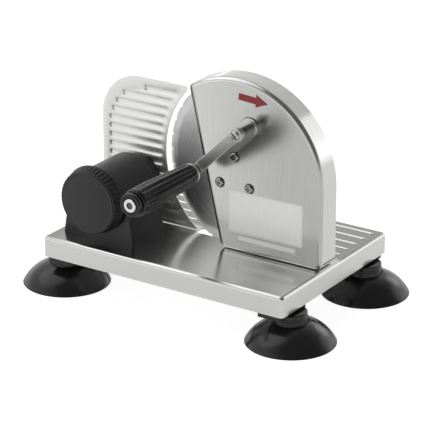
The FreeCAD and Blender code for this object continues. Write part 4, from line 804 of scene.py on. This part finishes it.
class SLICER_OT_plate(bpy.types.Operator):
    """Gauge plate with soft pressed channels, its carrier and its fasteners"""
    bl_idname = "slicer.plate"
    bl_label = "Gauge plate"

    def execute(self, context):
        settings = context.scene.slicer
        plate = settings.plate
        low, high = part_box("gauge_plate")
        outline = self.outline(low, high)
        channels = self.channels(plate, low, high)
        seats = [(place.x, place.z) for place in three_round(KNOB_AXIS, CARRIER_SCREW_CIRCLE)]
        loops = [outline, self.shrunk(outline, 0.5 * MM)]
        slopes = [plate.half, (2 * plate.half + plate.floor) / 3, (plate.half + 2 * plate.floor) / 3,
                  plate.floor]
        for left, right, z in channels:
            loops += [self.capsule(left, right, z, half) for half in slopes]
        seat, blend = 4.7 * MM, 0.9 * MM
        for spot in seats:
            loops += [arc(spot, radius, 0.0, TURN, 24)[:-1] for radius in (seat, seat + blend)]

        points, edges = [], []
        for loop in loops:
            first, count = len(points), len(loop)
            points += [Vector(point) for point in loop]
            edges += [(first + i, first + (i + 1) % count) for i in range(count)]
        border = list(range(len(outline)))
        flat, _, flat_faces = delaunay_2d_cdt(points, edges, [border], 1, 1e-7)[:3]

        def press(x, z):
            """How deep the sheet is pressed in at a place: nothing at the seats of the screws."""
            depth = 0.0
            for left, right, middle in channels:
                away = math.hypot(max(left - x, 0.0, x - right), z - middle)
                if away < plate.half:
                    t = min(1.0, (plate.half - away) / (plate.half - plate.floor))
                    depth = plate.depth * t * t * (3 - 2 * t)
            for seat_x, seat_z in seats:
                away = math.hypot(x - seat_x, z - seat_z)
                depth *= min(1.0, max(0.0, (away - seat) / blend))
            return depth

        front = [(p.x, low.y + press(p.x, p.y), p.y) for p in flat]
        rear = [(x, y + plate.sheet, z) for x, y, z in front]
        half = len(front)
        faces = [tuple(f) for f in flat_faces] + [tuple(half + i for i in reversed(f)) for f in flat_faces]
        faces += [(a, b, b + half, a + half) for a, b in self.border(flat_faces)]
        # Dull steel, on which each channel shows as a soft bright band and a grey one
        steel = brushed("Stainless steel, pressed and satin brushed", settings.colours.plate[:],
                        plate_grain, 0.48, colour_depth=0.02, relief=0.0006)
        piece("pressed_plate", front + rear, faces, steel, "gauge", "gauge_plate", sharp=50)
        # Even black with a soft sheen
        finish_nodes(moulded("ABS, moulded black, carrier", settings.colours.plastic[:], 0.42),
                     "gauge_carrier")
        # Pale metal with small dull spots
        finish_nodes(plated("Steel, zinc plated, plate screws", settings.colours.zinc[:], 0.25),
                     "carrier_screws", "cam_pin")
        return {"FINISHED"}

    def outline(self, low, high):
        """The plate's edge in X and Z, against the clock as seen from the crank side."""
        gap, bend = 87.4 * MM, 41 * MM
        foot, crown = low.z, high.z
        start, tip = foot + 2.6 * MM, crown - 8.6 * MM

        def beside(z):
            """Where the hollow edge beside the blade is at a height."""
            return BLADE_AXIS.x - math.sqrt(gap ** 2 - (z - BLADE_AXIS.z) ** 2)

        outline = [(low.x + 3 * MM, foot), (beside(foot) - 3.2 * MM, foot),
                   (beside(foot) - 1.0 * MM, foot + 0.7 * MM)]
        steps = 56
        for k in range(steps):
            z = start + (tip - start) * k / steps
            outline.append((beside(z), z))
        outline += bent(Vector((beside(tip), tip)), Vector((beside(crown), crown)),
                        Vector((beside(crown) - 8.4 * MM, crown)), 10)
        outline += arc((low.x + bend, crown - bend), bend, TURN / 4, TURN / 2, 24)
        return outline + [(low.x, foot + 3 * MM), (low.x + 0.9 * MM, foot + 0.9 * MM)]

    def shrunk(self, outline, inset):
        """The outline drawn in by a little, for a soft edge."""
        out = []
        for before, here, after in zip(outline[-1:] + outline, outline, outline[1:] + outline[:1]):
            along = (Vector(after) - Vector(before)).normalized()
            out.append(tuple(Vector(here) + Vector((-along.y, along.x)) * inset))
        return out

    def channels(self, plate, low, high):
        """Left end, right end and height of each channel's middle line. The upper ones stop short where
        the plate's corner is round."""
        beside = 91.8 * MM
        bend_x, bend_z, bend = -73.3 * MM, 140.3 * MM, 35.9 * MM
        short = (15.0 * MM, 3.9 * MM, 2.4 * MM, 1.0 * MM)
        out = []
        for i in range(plate.channels):
            z = high.z - 9.3 * MM - i * plate.pitch
            right = BLADE_AXIS.x - math.sqrt(beside ** 2 - (z - BLADE_AXIS.z) ** 2) - 2.6 * MM
            left = low.x + 10.2 * MM
            if z > bend_z:
                left = bend_x - math.sqrt(bend ** 2 - (z - bend_z) ** 2)
            left += short[i] if i < len(short) else -0.5 * MM
            out.append((left, right, z))
        return out

    def capsule(self, left, right, z, half):
        """The outline of a channel: two straight sides and two round ends."""
        return (arc((right, z), half, -TURN / 4, TURN / 4, 8)
                + arc((left, z), half, TURN / 4, 3 * TURN / 4, 8))

    def border(self, faces):
        """The edges that belong to one face only, in that face's own direction."""
        found = {(a, b) for face in faces for a, b in zip(face, [*face[1:], face[0]])}
        return sorted((a, b) for a, b in found if (b, a) not in found)


# Thickness adjuster

class SLICER_OT_adjuster(bpy.types.Operator):
    """Black moulded body of the adjuster with its cam and washer"""
    bl_idname = "slicer.adjuster"
    bl_label = "Adjuster"

    def execute(self, context):
        colours = context.scene.slicer.colours
        # Black with a broad soft highlight along the drum
        finish_nodes(moulded("ABS, moulded black, fine grain", colours.plastic[:], 0.34, grain=0.45,
                             depth=0.003), "adjuster_body")
        # Smooth warm white
        finish_nodes(moulded("Acetal, moulded natural", colours.nylon[:], 0.35), "cam_drum")
        # Pale metal with small dull spots
        finish_nodes(plated("Steel, zinc plated, adjuster", colours.zinc[:], 0.25),
                     "wave_washer", "adjuster_screws", "knob_screw")
        return {"FINISHED"}


class SLICER_OT_knob(bpy.types.Operator):
    """Large knob with finger ribs on a coned rim, and its flat face disc"""
    bl_idname = "slicer.knob"
    bl_label = "Knob"

    def execute(self, context):
        settings = context.scene.slicer
        self.knob(settings.knob, settings.colours)
        self.disc(settings.colours)
        return {"FINISHED"}

    def knob(self, knob, colours):
        low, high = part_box("adjuster_knob")
        front, rear = low.y, high.y
        big = (high.x - low.x) / 2
        small = big - 2.3 * MM
        ring = rear - knob.ring
        inside, wall, neck, bore = 24.5 * MM, front + 3.0 * MM, 12.0 * MM, 5.1 * MM
        rows = [(0.0, front), (small - 1.0 * MM, front), (small - 0.5 * MM, front + 0.25 * MM)]
        first = len(rows)
        start, top = front + 0.7 * MM, big - 0.4 * MM
        count = 10
        for k in range(count + 1):
            t = k / count
            rows.append((small + (top - small) * t, start + (ring - start) * t))
        last = len(rows)
        rows += [(big - 0.3 * MM, ring + 0.1 * MM), (big, ring + 0.4 * MM), (big, rear - 0.4 * MM),
                 (top, rear), (inside + 1.5 * MM, rear), (inside, wall), (neck, wall), (neck, rear),
                 (bore, rear), (bore, rear - 6 * MM), (0.0, rear - 6 * MM)]

        rise, fall, roundness = 0.08, 0.06, 0.55
        front_share, rear_share = 0.35, 0.1

        def shape(index, angle, radius, along):
            if not first <= index < last:
                return radius, along
            t = (index - first) / count
            fade = min(1.0, t / rise + front_share) * min(1.0, (1 - t) / fall + rear_share)
            crest = 0.5 - 0.5 * math.cos(angle * knob.ribs)
            return radius - knob.depth * fade * (1 - crest ** roundness), along

        # Dull black, so that the ribs show by their shade
        plastic = moulded("ABS, moulded black, knob", colours.plastic[:], 0.4, grain=0.45, depth=0.012)
        points, faces = turned_points(rows, knob.ribs * 10, shape, closed=False)
        piece("ribbed_knob", axis_y(points, KNOB_AXIS), faces, plastic, "knob",
              "adjuster_knob", sharp=40)

    def disc(self, colours):
        """The face disc, with a fine groove near its edge."""
        low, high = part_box("knob_cap")
        outer, face = (high.x - low.x) / 2, low.y
        rows = [(0.0, face + 0.02 * MM), (25.3 * MM, face + 0.02 * MM), (25.6 * MM, face + 0.14 * MM),
                (25.9 * MM, face), (outer - 0.35 * MM, face), (outer - 0.1 * MM, face + 0.1 * MM),
                (outer, face + 0.35 * MM), (outer, high.y), (0.0, high.y)]
        # The same black, a little duller
        cap = moulded("ABS, moulded black, knob face", colours.plastic[:], 0.46, grain=0.45, depth=0.012)
        points, faces = turned_points(rows, 128, closed=False)
        piece("knob_disc", axis_y(points, KNOB_AXIS), faces, cap, "knob", "knob_cap", sharp=60)


# Stickers

class SLICER_OT_stickers(bpy.types.Operator):
    """Blank rating films, blank rim label and the red direction arrow"""
    bl_idname = "slicer.stickers"
    bl_label = "Stickers"

    def execute(self, context):
        colours = context.scene.slicer.colours
        # Smooth silver, paler than the steel round it
        for name in ("rating_label", "strip_label"):
            finish_nodes(film(f"Polyester film, silver, {name.replace('_', ' ')}", colours.film[:], 0.3,
                              0.7, name, getattr(colours, name)[:]), name)
        # Plain white with a soft gloss
        finish_nodes(film("Polyester film, white", colours.white[:], 0.4), "rim_label")
        # Flat strong red with a soft gloss
        finish_nodes(film("Vinyl film, red", colours.red[:], 0.38), "arrow_sticker")
        return {"FINISHED"}


# Studio

class SLICER_OT_studio(bpy.types.Operator):
    """White floor, soft lamps and the photograph's camera"""
    bl_idname = "slicer.studio"
    bl_label = "Studio"

    def execute(self, context):
        studio = context.scene.slicer.studio
        self.floor(context)
        self.world(context, studio)
        self.lamp(context, "key", (-0.9, -0.2, 1.7), 2.0, studio.key)
        self.lamp(context, "rear", (0.25, 1.7, 0.75), 0.7, studio.fill * 0.5)
        self.lamp(context, "side", (1.0, 1.45, 0.7), 1.0, studio.fill * 0.4)
        self.camera(context)
        context.scene.view_settings.view_transform = "Standard"
        return {"FINISHED"}

    def floor(self, context):
        """Matt white board, which glows to the camera and, less, in reflections, so that it ends white."""
        reach = 6.0
        mesh = bpy.data.meshes.new("floor")
        mesh.from_pydata([(-reach, -reach, 0), (reach, -reach, 0), (reach, reach, 0), (-reach, reach, 0)], [],
                         [(0, 1, 2, 3)])
        material = bpy.data.materials.new("Painted board, matt white")
        material.use_nodes = True
        tree = material.node_tree
        tree.nodes.clear()
        rays = add(tree, "LightPath").node.outputs
        board = add(tree, "Mix", [rays["Is Camera Ray"], linear("#D8D8D8"), linear("#C0C0C0")],
                    data_type="RGBA")
        seen = add(tree, "Math", [rays["Is Camera Ray"], 0.86], operation="MULTIPLY")
        mirrored = add(tree, "Math", [rays["Is Glossy Ray"], 0.42], operation="MULTIPLY")
        glow = add(tree, "Math", [seen, mirrored], operation="ADD")
        paint = add(tree, "BsdfDiffuse", {"Color": board})
        lift = add(tree, "Emission", {"Color": (1, 1, 1, 1), "Strength": glow})
        add(tree, "OutputMaterial", {"Surface": add(tree, "AddShader", [paint, lift])})
        mesh.materials.append(material)
        floor = bpy.data.objects.new("floor", mesh)
        context.scene.collection.objects.link(floor)

    def world(self, context, studio):
        """White to the camera. Its light on the object is dimmer from above on the right, and brighter
        from low down."""
        world = bpy.data.worlds.new("White studio")
        context.scene.world = world
        world.use_nodes = True
        tree = world.node_tree
        tree.nodes.clear()
        way = add(tree, "TexCoord", output="Generated")
        front = add(tree, "VectorMath", [way, [0.6, -0.15, 0.78]], operation="DOT_PRODUCT")
        height = add(tree, "SeparateXYZ", [way], "Z")
        side = add(tree, "MapRange", [front, 0.2, 0.75, 1.0, studio.dim])
        low = add(tree, "MapRange", [height, 0.0, 0.32, 1.6, 0.86])
        level = add(tree, "Math", [side, low], operation="MULTIPLY")
        sky = add(tree, "Math", [level, studio.sky], operation="MULTIPLY")
        seen = add(tree, "LightPath", output="Is Camera Ray")
        strength = add(tree, "Mix", [seen, sky, 1.0], data_type="FLOAT")
        back = add(tree, "Background", {"Color": (1, 1, 1, 1), "Strength": strength})
        add(tree, "OutputWorld", {"Surface": back})

    def lamp(self, context, name, at, across, power):
        """A soft round lamp that points at the slicer."""
        light = bpy.data.lights.new(name, "AREA")
        light.shape = "DISK"
        light.size = across
        light.energy = power
        lamp = bpy.data.objects.new(name, light)
        lamp.location = at
        target = Vector((0.0, TRAY_Y, 0.09))
        lamp.rotation_mode = "QUATERNION"
        lamp.rotation_quaternion = (target - Vector(at)).to_track_quat("-Z", "Y")
        context.scene.collection.objects.link(lamp)

    def camera(self, context):
        """The camera that was fitted to the photograph."""
        data = bpy.data.cameras.new("camera")
        data.lens = 193.5
        data.sensor_width = 36
        data.clip_start = 0.1
        data.clip_end = 20
        camera = bpy.data.objects.new("camera", data)
        right = Vector((0.8349, 0.5505, 0.0)).normalized()
        back = Vector((0.5115, -0.7757, 0.3699)).normalized()
        turn = Matrix((right, back.cross(right), back)).transposed().to_4x4()
        camera.matrix_world = Matrix.Translation((1.0467, TRAY_Y - 1.5877, 0.8251)) @ turn
        context.scene.collection.objects.link(camera)
        context.scene.camera = camera


PIECES = (SLICER_OT_tray, SLICER_OT_cups, SLICER_OT_housing, SLICER_OT_drive, SLICER_OT_blade,
          SLICER_OT_crank, SLICER_OT_grip, SLICER_OT_plate, SLICER_OT_adjuster, SLICER_OT_knob,
          SLICER_OT_stickers, SLICER_OT_studio)


class SLICER_PT_panel(bpy.types.Panel):
    """Buttons for the slicer's pieces, and the sizes and colours behind them"""
    bl_idname = "SLICER_PT_panel"
    bl_label = "Slicer"
    bl_space_type = "VIEW_3D"
    bl_region_type = "UI"
    bl_category = "Slicer"

    def draw(self, context):
        settings = context.scene.slicer
        for operator in PIECES:
            self.layout.operator(operator.bl_idname)
        for group in settings.__annotations__:
            box = self.layout.box()
            box.label(text=group.capitalize())
            part = getattr(settings, group)
            for name in part.__annotations__:
                box.prop(part, name)


CLASSES = (SLICER_PG_cups, SLICER_PG_blade, SLICER_PG_grip, SLICER_PG_knob, SLICER_PG_plate,
           SLICER_PG_colours, SLICER_PG_studio, SLICER_PG_settings, *PIECES, SLICER_PT_panel)


def register():
    for kind in CLASSES:
        bpy.utils.register_class(kind)
    bpy.types.Scene.slicer = PointerProperty(type=SLICER_PG_settings)


def unregister():
    del bpy.types.Scene.slicer
    for kind in reversed(CLASSES):
        bpy.utils.unregister_class(kind)


def main():
    register()
    for operator in PIECES:
        group, name = operator.bl_idname.split(".")
        getattr(getattr(bpy.ops, group), name)()


if __name__ == "__main__":
    main()
